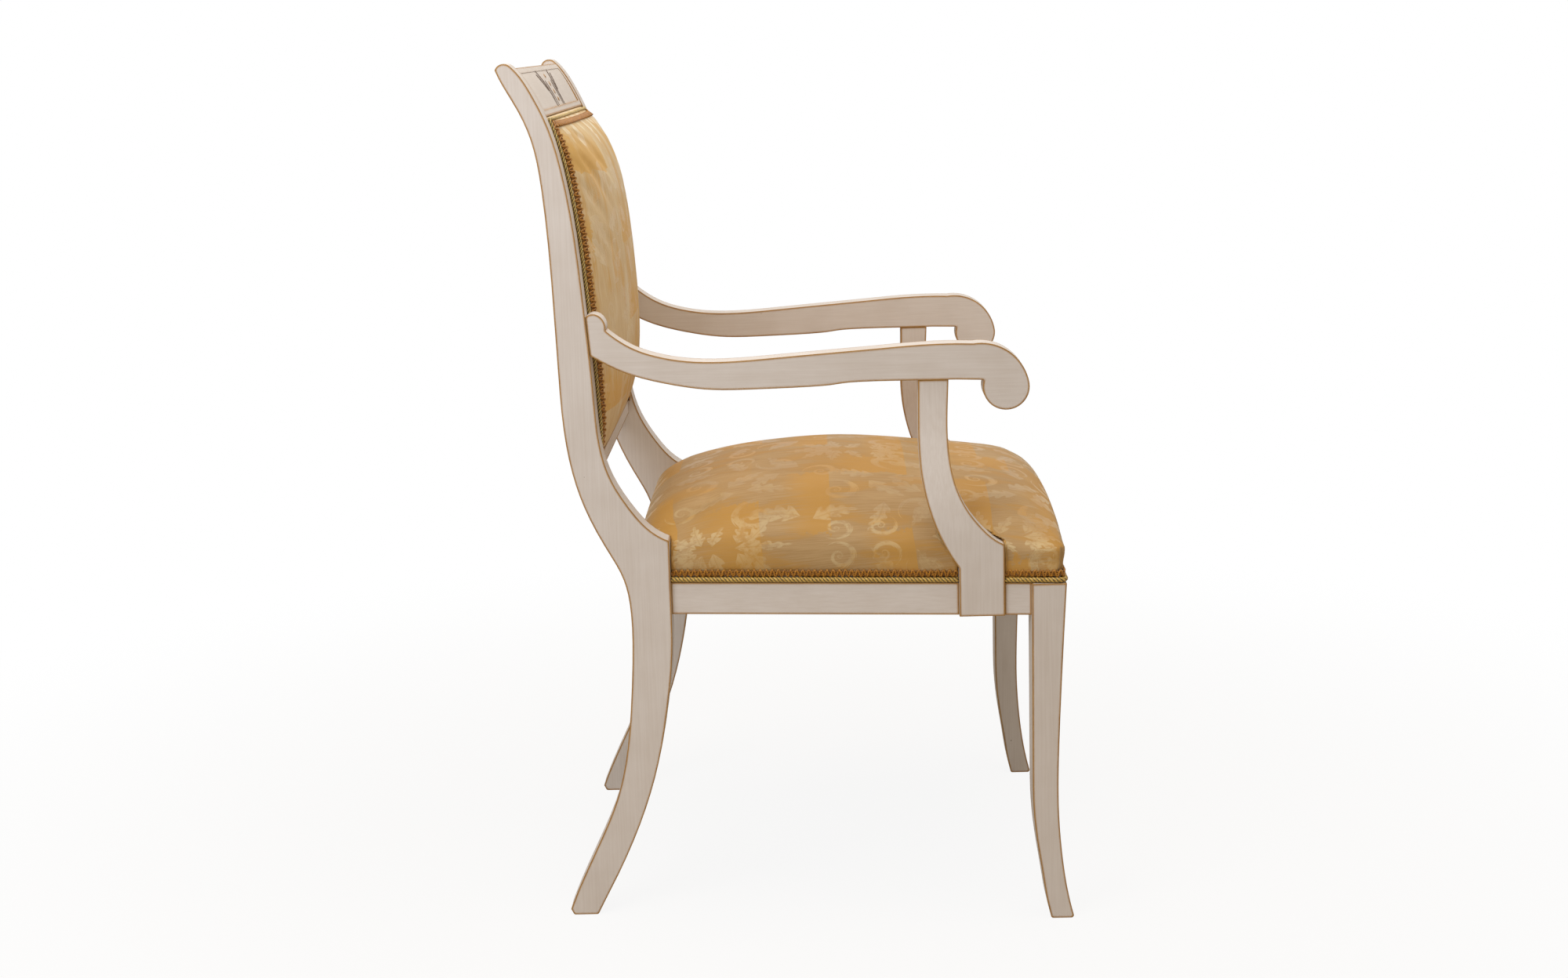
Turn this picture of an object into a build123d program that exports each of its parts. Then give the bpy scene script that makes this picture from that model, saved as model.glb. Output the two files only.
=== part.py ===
from build123d import *
from math import cos, pi, sin
import os

# Dining armchair: painted beech frame, upholstered seat and back, trimmed with gimp and cord.
# Millimetres. X runs across the chair, -Y is the front, +Z is up, and the floor is Z = 0.
# The right-hand pieces, on the sitter's right, lie at -X. The left-hand ones mirror them.

# Widths across the frame
back_width = 470.0
front_width = 550.0
post_thickness = 30.0
front_leg_width = 42.0
front_foot_width = 32.0
sole_rounding = 3.0

# Seat frame
rail_bottom = 361.0
show_wood_height = 37.0
tacking_height = 19.0
rail_thickness = 26.0
rail_setback = 6.0
front_rail_setback = 2.0
rebate_depth = 6.0
post_face = 142.0
seat_front = -305.0
front_leg_depth = 39.0
rear_rail_step = 17.0
shoulder_rise = 50.0
corner_block_height = 28.0
corner_block_reach = 62.0

# Back frame
crest_top = 980.0
crest_height = 80.0
crest_show_height = 54.0
ear_rise = 5.0
crest_setback = 1.0
crest_rear_setback = 3.0
lower_rail_bottom = 523.0
lower_rail_height = 40.0
lower_rail_show_height = 18.0
crest_panel_margin = 15.0
crest_panel_depth = 1.2
crest_panel_sill = 7.0
crest_panel_head = 6.0

# Arms and arm posts
arm_thickness = 28.0
arm_front_spread = 492.0
arm_post_thickness = 26.0
arm_post_stand = 6.4
arm_seat_height = 627.0
arm_butt_rise = 35.0
arm_lobe_rise = 78.5
block_gap = 30.0
block_width = 51.0
block_rise = 45.0
housing_depth = 10.0

# Upholstery
cover_thickness = 2.0
webbing_width = 50.0
webbing_thickness = 1.2
webbing_pitch = 78.0
webbing_first_row = -140.0
webbing_rows = 4
webbing_columns = 5
webbing_tack_margin = 4.0
hessian_thickness = 1.0
seat_crown_rise = 115.0
seat_bulge = 1.0
seat_top_half = 37.2
pad_crown = 42.0
pad_flange_margin = 1.5
pad_edge_depth = 8.0
pad_foot_setback = 2.6
back_panel_thickness = 5.0
rear_cover_inset = 4.0
dust_cover_thickness = 0.8
dust_cover_margin = 6.0

# Trim
cord_diameter = 6.4
back_cord_diameter = 5.0
back_cord_bend = 100.0
cord_lean = 1.2
gimp_width = 7.6
gimp_thickness = 1.6

# Dowels and screws
dowel_diameter = 8.0
dowel_length = 44.0
dowel_first = 9.0
dowel_pitch = 26.0
slim_dowel_diameter = 7.0
slim_dowel_length = 36.0
crest_dowel_rise = 12.0
crest_dowel_drop = 18.0
lower_dowel_margin = 10.0
arm_dowel_rises = (41.0, 55.0)
screw_diameter = 4.5
screw_head_diameter = 9.0
screw_head_height = 3.0
arm_screw_length = 26.0
block_screw_length = 36.0
arm_screw_pitch = 25.0
arm_screw_rise = 11.0
block_screw_inset = 22.0

# Fits
dowel_clearance = 0.1
dowel_end_gap = 1.0
screw_clearance = 0.1
soft_gap = 0.3
housing_clearance = 0.2

# Extra length of blanks and cutters, and how far one solid runs into the next where they join
blank_margin = 50.0
cutter_overrun = 5.0
join_overlap = 1.0

# Heights and half widths that follow from the sizes above
show_top = rail_bottom + show_wood_height
rail_top = show_top + tacking_height
front_rail_top = rail_top + webbing_thickness
webbing_top = rail_top + 2 * webbing_thickness
hessian_top = webbing_top + hessian_thickness
lower_rail_top = lower_rail_bottom + lower_rail_height
seat_crown = show_top + seat_crown_rise
skirt_rise = cord_diameter + gimp_width
shoulder = show_top + shoulder_rise
back_rise = crest_top - shoulder
crest_bottom = crest_top - crest_height
pad_top = crest_top - crest_show_height
pad_bottom = lower_rail_bottom + lower_rail_show_height
crest_panel_bottom = pad_top + crest_panel_sill
crest_panel_top = crest_top - crest_panel_head
leg_rear_face = seat_front + front_leg_depth
seat_rear = post_face + rear_rail_step + rail_thickness
block_front = leg_rear_face + block_gap
block_rear = block_front + block_width
block_middle = (block_rear + block_front) / 2
block_top = show_top + block_rise
skirt_inset = rebate_depth - cover_thickness
pad_flange = back_cord_diameter + gimp_width + pad_flange_margin
post_outer = back_width / 2
post_inner = post_outer - post_thickness
leg_outer = front_width / 2
leg_inner = leg_outer - front_leg_width
rail_rear_half = post_outer - rail_setback
rail_front_half = leg_outer - rail_setback
rail_taper = (rail_front_half - rail_rear_half) / (post_face - leg_rear_face)
pad_rebate = pad_edge_depth + back_panel_thickness
front_rail_face = seat_front + front_rail_setback
front_rail_inner = front_rail_face + rail_thickness
rear_rail_inner = seat_rear - rail_thickness
rail_middle = (rail_bottom + rail_top) / 2



def placed(points, depth, height=0.0, span=1.0):
    # Outline points (Y, Z) moved to a depth and a height, their own heights stretched over a span
    return [(depth + y, height + span * z) for y, z in points]


# Side outlines, in from the faces that they belong to. The back's heights are shares of its rise.
rear_leg_front_edge = placed([
    (99, 0), (75.6, 0.1241), (41.3, 0.3363), (18.4, 0.5468), (8.1, 0.7036), (0, 0.9612),
], post_face, 0, rail_bottom)
back_foot_edge = placed([
    (0, 0), (22.5, 0.0261), (42.6, 0.0707), (65.6, 0.1483), (75.2, 0.2265),
], post_face, shoulder, back_rise)
back_upper_edge = placed([
    (78.6, 0.3233), (84.3, 0.4821), (92.4, 0.657), (103.1, 0.7883), (117.5, 0.8867), (132.6, 0.9477),
    (145.5, 0.9868), (155, 1.0056),
], post_face, shoulder, back_rise)
back_front_edge = back_foot_edge + back_upper_edge
ear_crown = (post_face + 163.5, crest_top + ear_rise)
back_upper_rear_edge = placed([
    (171, 0.9972), (165.5, 0.9737), (148.9, 0.9169), (135.1, 0.8524), (126.4, 0.7556), (120, 0.5602),
    (117, 0.3609), (112.8, 0.2274), (97.1, 0.0912),
], post_face, shoulder, back_rise)
back_rear_edge = back_upper_rear_edge + placed([
    (71.8, 1.2222), (53.3, 1.1191), (46.6, 1.0139), (46.2, 0.9003), (49.2, 0.7562), (56.2, 0.5706),
    (71.2, 0.3928), (96, 0.233), (131, 0.0194),
], post_face, 0, rail_bottom)
rear_foot_heel = (post_face + 127.5, 0)
front_leg_front_edge = placed([
    (0, 1), (2.7, 0.8719), (6.2, 0.6884), (9, 0.5025), (9.7, 0.397), (8.8, 0.3015), (6.1, 0.2111),
    (1.6, 0.1206), (-8.83, 0),
], seat_front, 0, show_top)
front_leg_rear_edge = placed([
    (-21, 0), (-15.8, 0.0603), (-11.4, 0.1307), (-5.4, 0.2261), (-1.2, 0.3216), (0, 0.4397),
], leg_rear_face, 0, show_top)
arm_lower_edge = placed([
    (53.6, 19.8), (28.7, 10), (-2.8, 1.8), (-47, -5.5), (-102, -6.5), (-188, -3.4),
], post_face, arm_seat_height)
arm_lower_edge += placed([(124, 0)], block_front, arm_seat_height)
arm_upper_edge = placed([
    (62.6, 63), (45.9, 50.1), (26.2, 39.5), (4.5, 32.5), (-20.7, 27.6), (-57, 25.2), (-132, 29),
], post_face, arm_seat_height)
arm_upper_edge += placed([(146, 36), (71, 40.5), (31, 40)], block_front, arm_seat_height)
arm_lobe = placed([(62.6, 63), (63.6, 73), (71.8, 81)], post_face, arm_seat_height)
arm_scroll = placed([(19.6, -1), (-2, -35), (-31, -6)], block_front, arm_seat_height)
arm_scroll_top = (block_front - 17.5, arm_seat_height + 22.5)
arm_post_rear_curve = placed([
    (0, 0), (21.4, 0.1786), (34.6, 0.3571), (41, 0.5286), (42.7, 0.7524), (42, 1),
], block_rear, rail_top, arm_seat_height - rail_top)
arm_post_front_curve = placed([
    (59, 1), (60.8, 0.7652), (59.8, 0.5473), (52.6, 0.3522), (41, 0.2174), (27.3, 0.1179), (11.5, 0.0353),
    (0, 0),
], block_front, block_top, arm_seat_height - block_top)

# Front line of the back pad, straight down to the lower rail where the posts sweep forward
pad_foot_depth = back_upper_edge[0][0] - pad_foot_setback
pad_front_edge = [(pad_foot_depth, lower_rail_bottom), (pad_foot_depth, pad_bottom)]
pad_front_edge += back_upper_edge

# Seat cushion from the gimp up to the crown: share of that rise, and inset from the show-wood line.
# Above its upright edge the cushion is an elliptical dome.
crown_reach = (rail_rear_half - rail_taper * (seat_rear - post_face) - seat_top_half) / (1 - rail_taper)
seat_edge_share = 0.28
seat_sections = 12
seat_swell = [(0, skirt_inset), (0.06, 1.8), (0.12, 0.3), (0.2, -seat_bulge)]
for k in range(seat_sections + 1):
    angle = pi / 2 * k / seat_sections
    share = seat_edge_share + (1 - seat_edge_share) * sin(angle)
    seat_swell.append((share, crown_reach * (1 - cos(angle))))
seat_corner_radius = 9.0
corner_growth = 0.6
corner_limit = 0.4

# Back pad: how square its side view is, and the sections that shape it
pad_squareness = 3.4
pad_sections = 18
pad_least_crown = 0.03
pad_shoulder = 45.0
pad_shoulder_share = 0.8
pad_haunch = 13.5
pad_haunch_share = 0.5

# Spacing of the points taken along the back's edges, and the halvings used to find each one
edge_spacing = 30.0
halvings = 40

os.makedirs("parts", exist_ok=True)


def write_node(builder, node):
    builder.part.label = node
    export_step(builder.part, f"parts/{node}.step")


def write_mirrored(builder):
    with BuildPart() as left:
        mirror(builder.part, about=Plane.YZ)
    write_node(left, builder.part.label.replace("right_", "left_"))


def rail_line(y, inset=0.0):
    # Half width of the seat at depth y, measured to the show-wood face of the side rails
    return rail_rear_half + rail_taper * (post_face - y) - inset


def arm_line(y):
    # Half width across the outsides of the arms at depth y
    spread = (arm_front_spread / 2 - post_outer) / (post_face - seat_front)
    return post_outer + spread * (post_face - y)


def depth_at(edge, z):
    # Depth of a side edge of the back at height z
    low, high = (0.0, 1.0) if (edge @ 0).Y < (edge @ 1).Y else (1.0, 0.0)
    for _ in range(halvings):
        middle = (low + high) / 2
        low, high = (middle, high) if (edge @ middle).Y < z else (low, middle)
    return (edge @ low).X


def edge_run(edge, bottom, top, shift):
    # Evenly spaced points up a side edge of the back, moved by shift in depth
    spans = max(3, round((top - bottom) / edge_spacing))
    steps = [bottom + (top - bottom) * k / spans for k in range(spans + 1)]
    return [(depth_at(edge, z) + shift, z) for z in steps]


def seat_outline(inset):
    # Corners of the seat's plan, in from the show-wood line by inset
    front = seat_front + inset
    rear = seat_rear - inset
    return [
        (-rail_line(front, inset), front), (rail_line(front, inset), front),
        (rail_line(rear, inset), rear), (-rail_line(rear, inset), rear),
    ]


def seat_prism(inset, bottom, top):
    # Straight-sided block with the seat's plan
    with BuildPart() as prism:
        with BuildSketch(Plane.XY.offset(bottom)) as plan:
            with BuildLine():
                Polyline(*seat_outline(inset), close=True)
            make_face()
            fillet(plan.vertices(), seat_corner_radius - inset)
        extrude(amount=top - bottom)
    return prism.part


front_guide = Spline(*back_front_edge)
rear_guide = Spline(*back_upper_rear_edge)
pad_guide = Spline(*pad_front_edge)


def back_band(near_edge, near_shift, far_edge, far_shift, bottom, top, half_width):
    # Curved band across the back, between two shifted side edges
    near_run = edge_run(near_edge, bottom, top, near_shift)
    far_run = edge_run(far_edge, bottom, top, far_shift)
    with BuildPart() as band:
        with BuildSketch(Plane.YZ.offset(-half_width)):
            with BuildLine():
                Spline(*near_run)
                Line(near_run[-1], far_run[-1])
                Spline(*far_run)
                Line(far_run[0], near_run[0])
            make_face()
        extrude(amount=2 * half_width)
    return band.part


# Places of the dowels, as planes at the joint with their normals along the dowels
side_dowel_heights = (rail_bottom + dowel_first, rail_bottom + dowel_first + dowel_pitch)
end_dowel_heights = [z + dowel_pitch / 2 for z in side_dowel_heights]
rail_dowel_planes = []
for side in (-1, 1):
    for z in side_dowel_heights:
        for y in (post_face, leg_rear_face):
            centre = side * (rail_line(y) - rail_thickness / 2)
            rail_dowel_planes.append(Plane((centre, y, z), z_dir=(0, 1, 0)))
    for z in end_dowel_heights:
        front_centre = (front_rail_inner + seat_front + rebate_depth) / 2
        rear_centre = (rear_rail_inner + seat_rear - rebate_depth) / 2
        rail_dowel_planes.append(Plane((side * leg_inner, front_centre, z), z_dir=(1, 0, 0)))
        rail_dowel_planes.append(Plane((side * post_inner, rear_centre, z), z_dir=(1, 0, 0)))

back_dowel_planes = []
crest_dowel_heights = (pad_top + crest_dowel_rise, crest_top - crest_dowel_drop)
lower_dowel_heights = (lower_rail_bottom + lower_dowel_margin, lower_rail_top - lower_dowel_margin)
for side in (-1, 1):
    for z in crest_dowel_heights:
        y = (depth_at(front_guide, z) + depth_at(rear_guide, z)) / 2
        back_dowel_planes.append(Plane((side * post_inner, y, z), z_dir=(1, 0, 0)))
    for z in lower_dowel_heights:
        y = (pad_foot_depth + pad_rebate + depth_at(rear_guide, lower_rail_bottom) - rear_cover_inset) / 2
        back_dowel_planes.append(Plane((side * post_inner, y, z), z_dir=(1, 0, 0)))


def butt_point(rise):
    # Point where the arm meets the front of the back post
    z = arm_seat_height + rise
    return (depth_at(front_guide, z) - soft_gap, z)


arm_butt_low = butt_point(arm_butt_rise)
arm_butt_high = butt_point(arm_lobe_rise)
arm_dowel_planes = []
for side in (-1, 1):
    for rise in arm_dowel_rises:
        centre = side * (post_outer - post_thickness / 2)
        arm_dowel_planes.append(Plane((centre, *butt_point(rise)), z_dir=(0, 1, 0)))
    post_top_depth = (arm_post_rear_curve[-1][0] + arm_post_front_curve[0][0]) / 2
    post_top_centre = arm_line(post_top_depth) - arm_thickness / 2
    arm_dowel_planes.append(Plane((side * post_top_centre, post_top_depth, arm_seat_height)))


def dowels(planes, diameter, length):
    with BuildPart() as group:
        with Locations(*planes):
            Cylinder(diameter / 2, length)
    return group


def dowel_holes(planes, diameter, length):
    return dowels(planes, diameter + 2 * dowel_clearance, length + 2 * dowel_end_gap).part


rail_dowel_holes = dowel_holes(rail_dowel_planes, dowel_diameter, dowel_length)
back_dowel_holes = dowel_holes(back_dowel_planes, slim_dowel_diameter, slim_dowel_length)
arm_dowel_holes = dowel_holes(arm_dowel_planes, slim_dowel_diameter, slim_dowel_length)

# Screws: planes at the face their heads sit flush with, normals pointing out of the heads
arm_screw_height = rail_bottom + arm_screw_rise
rail_angle = Plane((0, 0, 0), z_dir=(1, rail_taper, 0)).z_dir
rail_skew = (1 + rail_taper ** 2) ** 0.5
arm_screw_planes = []
for side in (-1, 1):
    for offset in (-arm_screw_pitch / 2, arm_screw_pitch / 2):
        y = block_middle + offset
        x = rail_line(y) - rail_thickness * rail_skew
        inward = (-side * rail_angle.X, -rail_angle.Y, 0)
        arm_screw_planes.append(Plane((side * x, y, arm_screw_height), z_dir=inward))

block_bottom = show_top - corner_block_height / 2
block_screw_height = block_bottom + corner_block_height / 2
front_block_end = leg_rear_face + corner_block_reach
rear_block_end = post_face - corner_block_reach
front_block_tip = leg_inner - corner_block_reach
rear_block_tip = post_inner - corner_block_reach


def inner_rail_line(y):
    # Half width between the inner faces of the side rails at depth y
    return rail_line(y) - rail_thickness * rail_skew


def corner_block_face(y_corner, y_rail, y_end, x_corner, x_tip):
    # Plan of a corner block, notched round the leg or post at its corner
    with BuildSketch(Plane.XY.offset(block_bottom)) as face:
        with BuildLine():
            Polyline(
                (-x_corner, y_corner), (-x_corner, y_rail), (-x_tip, y_rail),
                (-inner_rail_line(y_end), y_end), (-inner_rail_line(y_corner), y_corner), close=True,
            )
        make_face()
    return face.sketch


block_screw_planes = []
for side in (-1, 1):
    for tip, rail, end, sign in (
        (front_block_tip, front_rail_inner, front_block_end, 1),
        (rear_block_tip, rear_rail_inner, rear_block_end, -1),
    ):
        slope = abs(end - rail) / (inner_rail_line(end) - tip)
        seat = rail + sign * (block_screw_inset * slope - screw_head_diameter / 2)
        x = side * (tip + block_screw_inset)
        block_screw_planes.append(Plane((x, seat, block_screw_height), z_dir=(0, sign, 0)))


def screws(planes, length, grow=0.0, access=0.0):
    # Countersunk wood screws, or their holes, larger by grow and open to a driver for the access length
    with BuildPart() as group:
        with Locations(*planes):
            Cylinder(screw_diameter / 2 + grow, length + grow, align=(Align.CENTER, Align.CENTER, Align.MAX))
            with Locations((0, 0, -screw_head_height / 2)):
                Cone(screw_diameter / 2 + grow, screw_head_diameter / 2 + grow, screw_head_height)
            if access:
                Cylinder(
                    screw_head_diameter / 2 + grow, access, align=(Align.CENTER, Align.CENTER, Align.MIN),
                )
    return group


arm_screw_holes = screws(arm_screw_planes, arm_screw_length, screw_clearance, rebate_depth).part
block_screw_holes = screws(
    block_screw_planes, block_screw_length, screw_clearance, corner_block_reach / 2,
).part

# Ring outside the tacking line, cut away above the show wood so that the cover sits in a rebate
with BuildPart() as rebate_cutter:
    with Locations((0, 0, show_top)):
        Box(
            2 * front_width, 2 * front_width, 2 * tacking_height,
            align=(Align.CENTER, Align.CENTER, Align.MIN),
        )
    add(seat_prism(rebate_depth, rail_bottom, seat_crown), mode=Mode.SUBTRACT)

# Back post with its rear leg, sawn from one plank
with BuildPart() as right_back_post:
    with BuildSketch(Plane.YZ.offset(-post_outer)) as post_side:
        with BuildLine():
            Spline(*rear_leg_front_edge, tangents=[(-0.5, 1), (0, 1)])
            Line(rear_leg_front_edge[-1], back_front_edge[0])
            Spline(*back_front_edge)
            ThreePointArc(back_front_edge[-1], ear_crown, back_rear_edge[0])
            Spline(*back_rear_edge)
            Polyline(back_rear_edge[-1], rear_foot_heel, rear_leg_front_edge[0])
        make_face()
        fillet(post_side.vertices().group_by(Axis.Y)[0], sole_rounding)
    extrude(amount=post_thickness)
    add(rail_dowel_holes, mode=Mode.SUBTRACT)
    add(back_dowel_holes, mode=Mode.SUBTRACT)
    add(arm_dowel_holes, mode=Mode.SUBTRACT)
write_node(right_back_post, "right_back_post")
write_mirrored(right_back_post)

# Front leg, sabre shaped in side view and tapered on its inner face towards the foot
with BuildPart() as right_front_leg:
    with BuildSketch(Plane.YZ.offset(-leg_outer)) as leg_side:
        with BuildLine():
            Spline(*front_leg_front_edge)
            Line(front_leg_front_edge[-1], front_leg_rear_edge[0])
            Spline(*front_leg_rear_edge, tangents=[(0.2, 1), (0, 1)])
            Polyline(
                front_leg_rear_edge[-1], (leg_rear_face, rail_top), (seat_front, rail_top),
                front_leg_front_edge[0],
            )
        make_face()
        fillet(leg_side.vertices().group_by(Axis.Y)[0], sole_rounding)
    extrude(amount=front_leg_width)
    with BuildSketch(Plane.XZ.offset(-leg_rear_face)):
        with BuildLine():
            Polyline(
                (-leg_inner, rail_bottom), (-leg_outer + front_foot_width, 0), (-leg_inner, 0), close=True,
            )
        make_face()
    extrude(amount=front_leg_width + blank_margin, mode=Mode.SUBTRACT)
    add(rebate_cutter.part, mode=Mode.SUBTRACT)
    add(rail_dowel_holes, mode=Mode.SUBTRACT)
write_node(right_front_leg, "right_front_leg")
write_mirrored(right_front_leg)

# Side seat rail, housed on its outer face for the arm post
with BuildPart() as right_seat_rail:
    with BuildSketch(Plane.XY.offset(rail_bottom)):
        with BuildLine():
            Polyline(
                (-rail_line(post_face), post_face), (-rail_line(leg_rear_face), leg_rear_face),
                (-inner_rail_line(leg_rear_face), leg_rear_face), (-inner_rail_line(post_face), post_face),
                close=True,
            )
        make_face()
    extrude(amount=rail_top - rail_bottom)
    add(rebate_cutter.part, mode=Mode.SUBTRACT)
    housing_inner = rail_line(block_middle) - housing_depth
    with Locations((-housing_inner + housing_clearance, block_middle, rail_middle)):
        Box(
            front_width, block_width + 2 * housing_clearance, tacking_height + rail_top,
            align=(Align.MAX, Align.CENTER, Align.CENTER), mode=Mode.SUBTRACT,
        )
    add(rail_dowel_holes, mode=Mode.SUBTRACT)
    add(arm_screw_holes, mode=Mode.SUBTRACT)
write_node(right_seat_rail, "right_seat_rail")
write_mirrored(right_seat_rail)

# Front and rear seat rails
with BuildPart() as front_seat_rail:
    with Locations((0, (front_rail_face + front_rail_inner) / 2, (rail_bottom + front_rail_top) / 2)):
        Box(2 * leg_inner, rail_thickness, front_rail_top - rail_bottom)
    add(rebate_cutter.part, mode=Mode.SUBTRACT)
    add(rail_dowel_holes, mode=Mode.SUBTRACT)
    add(block_screw_holes, mode=Mode.SUBTRACT)
write_node(front_seat_rail, "front_seat_rail")

with BuildPart() as rear_seat_rail:
    with Locations((0, (rear_rail_inner + seat_rear) / 2, (rail_bottom + front_rail_top) / 2)):
        Box(2 * post_inner, rail_thickness, front_rail_top - rail_bottom)
    add(rebate_cutter.part, mode=Mode.SUBTRACT)
    add(rail_dowel_holes, mode=Mode.SUBTRACT)
    add(block_screw_holes, mode=Mode.SUBTRACT)
write_node(rear_seat_rail, "rear_seat_rail")

# Corner blocks inside the seat frame
with BuildPart() as right_front_corner_block:
    add(corner_block_face(leg_rear_face, front_rail_inner, front_block_end, leg_inner, front_block_tip))
    extrude(amount=corner_block_height)
    add(block_screw_holes, mode=Mode.SUBTRACT)
write_node(right_front_corner_block, "right_front_corner_block")
write_mirrored(right_front_corner_block)

with BuildPart() as right_rear_corner_block:
    add(corner_block_face(
        post_face, rear_rail_inner, rear_block_end, inner_rail_line(post_face), rear_block_tip,
    ))
    extrude(amount=corner_block_height)
    add(block_screw_holes, mode=Mode.SUBTRACT)
write_node(right_rear_corner_block, "right_rear_corner_block")
write_mirrored(right_rear_corner_block)

# Crest rail between the posts, following their sweep, with a sunk panel on its face
pad_rebate_cutter = back_band(
    pad_guide, -pad_rebate, pad_guide, pad_rebate + soft_gap,
    crest_bottom - cutter_overrun, pad_top, post_outer)
rear_rebate_cutter = back_band(
    rear_guide, -rear_cover_inset - soft_gap, rear_guide, rear_cover_inset,
    crest_bottom - cutter_overrun, pad_top, post_outer)
crest_panel_cutter = back_band(
    front_guide, -pad_rebate, front_guide, crest_setback + crest_panel_depth,
    crest_panel_bottom, crest_panel_top, post_inner - crest_panel_margin)
with BuildPart() as crest_rail:
    front_run = edge_run(front_guide, crest_bottom, crest_top, crest_setback)
    rear_run = edge_run(rear_guide, crest_bottom, crest_top - crest_rear_setback, -crest_rear_setback)
    with BuildSketch(Plane.YZ.offset(-post_inner)):
        with BuildLine():
            Spline(*front_run)
            Line(front_run[-1], rear_run[-1])
            Spline(*rear_run)
            Line(rear_run[0], front_run[0])
        make_face()
    extrude(amount=2 * post_inner)
    add(pad_rebate_cutter, mode=Mode.SUBTRACT)
    add(rear_rebate_cutter, mode=Mode.SUBTRACT)
    add(crest_panel_cutter, mode=Mode.SUBTRACT)
    add(back_dowel_holes, mode=Mode.SUBTRACT)
write_node(crest_rail, "crest_rail")

# Lower back rail, below the pad
lower_rail_face = pad_foot_depth + crest_setback
lower_rebate_face = depth_at(pad_guide, lower_rail_top) + pad_rebate + soft_gap
lower_rail_rear = [
    (depth_at(rear_guide, z) - rear_cover_inset - soft_gap, z) for z in (lower_rail_top, lower_rail_bottom)
]
with BuildPart() as lower_back_rail:
    with BuildSketch(Plane.YZ.offset(-post_inner)):
        with BuildLine():
            Polyline(
                (lower_rail_face, lower_rail_bottom), (lower_rail_face, pad_bottom),
                (lower_rebate_face, pad_bottom), (lower_rebate_face, lower_rail_top), *lower_rail_rear,
                close=True,
            )
        make_face()
    extrude(amount=2 * post_inner)
    add(back_dowel_holes, mode=Mode.SUBTRACT)
write_node(lower_back_rail, "lower_back_rail")

# Arm: scrolled at its front end, with a small lobe where it butts on the back post
arm_blank_inner = post_inner - arm_thickness
arm_blank_outer = max(post_outer, arm_front_spread / 2)
arm_blank_rear = arm_butt_high[0] + blank_margin
with BuildPart() as right_arm:
    with BuildSketch(Plane.YZ.offset(-arm_blank_outer)):
        with BuildLine():
            Spline(arm_butt_low, *arm_lower_edge, tangents=[(-0.86, -0.5), (-1, 0)])
            Line(arm_lower_edge[-1], (block_rear, arm_seat_height))
            Line((block_rear, arm_seat_height), arm_scroll[0])
            ThreePointArc(*arm_scroll)
            ThreePointArc(arm_scroll[-1], arm_scroll_top, arm_upper_edge[-1])
            Spline(*reversed(arm_upper_edge))
            Spline(*arm_lobe, arm_butt_high)
            Line(arm_butt_high, arm_butt_low)
        make_face()
    extrude(amount=arm_blank_outer - arm_blank_inner)
    with BuildSketch(Plane.XY.offset(block_top)):
        with BuildLine():
            Polyline(
                (-arm_line(arm_blank_rear), arm_blank_rear), (-arm_line(seat_front), seat_front),
                (arm_thickness - arm_line(seat_front), seat_front),
                (arm_thickness - arm_line(arm_blank_rear), arm_blank_rear), close=True,
            )
        make_face()
    extrude(amount=crest_top - block_top, mode=Mode.INTERSECT)
    add(arm_dowel_holes, mode=Mode.SUBTRACT)
write_node(right_arm, "right_arm")
write_mirrored(right_arm)


def arm_post_solid(grow):
    # Arm post, sawn to its side outline and then to its front outline, or a clearance larger all round
    rear_curve = [(y + grow, z) for y, z in arm_post_rear_curve]
    front_curve = [(y - grow, z) for y, z in arm_post_front_curve]
    foot_outer = rail_line(block_middle) + arm_post_stand
    top_outer = post_top_centre + arm_post_thickness / 2
    lap_inner = housing_inner - grow
    body_inner = foot_outer - arm_post_thickness - grow
    top_inner = top_outer - arm_post_thickness - grow
    with BuildPart() as post:
        with BuildSketch(Plane.YZ.offset(-foot_outer)):
            with BuildLine():
                Line((block_rear + grow, rail_bottom), rear_curve[0])
                Spline(*rear_curve)
                Line(rear_curve[-1], front_curve[0])
                Spline(*front_curve)
                Polyline(front_curve[-1], (block_front - grow, rail_bottom), (block_rear + grow, rail_bottom))
            make_face()
        extrude(amount=foot_outer - top_inner)
        with BuildSketch(Plane.XZ.offset(-block_rear - blank_margin)):
            with BuildLine():
                Line((-foot_outer, rail_bottom), (-foot_outer, block_top))
                Spline((-foot_outer, block_top), (-top_outer, arm_seat_height), tangents=[(0, 1), (0, 1)])
                Line((-top_outer, arm_seat_height), (-top_inner, arm_seat_height))
                Spline((-top_inner, arm_seat_height), (-body_inner, block_top), tangents=[(0, -1), (0, -1)])
                Polyline(
                    (-body_inner, block_top), (-body_inner, rail_top), (-lap_inner, rail_top),
                    (-lap_inner, rail_bottom), (-foot_outer, rail_bottom),
                )
            make_face()
        extrude(amount=block_width + 2 * blank_margin, mode=Mode.INTERSECT)
    return post


# Arm post, lapped into the side rail with a shoulder on its top edge
with BuildPart() as right_arm_post:
    add(arm_post_solid(0).part)
    add(arm_dowel_holes, mode=Mode.SUBTRACT)
    add(arm_screw_holes, mode=Mode.SUBTRACT)
write_node(right_arm_post, "right_arm_post")
write_mirrored(right_arm_post)

# Dowels and screws, one group of separate solids for each kind of joint
write_node(dowels(rail_dowel_planes, dowel_diameter, dowel_length), "seat_rail_dowels")
write_node(dowels(back_dowel_planes, slim_dowel_diameter, slim_dowel_length), "back_rail_dowels")
write_node(dowels(arm_dowel_planes, slim_dowel_diameter, slim_dowel_length), "arm_dowels")
write_node(screws(arm_screw_planes, arm_screw_length), "arm_post_screws")
write_node(screws(block_screw_planes, block_screw_length), "corner_block_screws")

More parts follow.
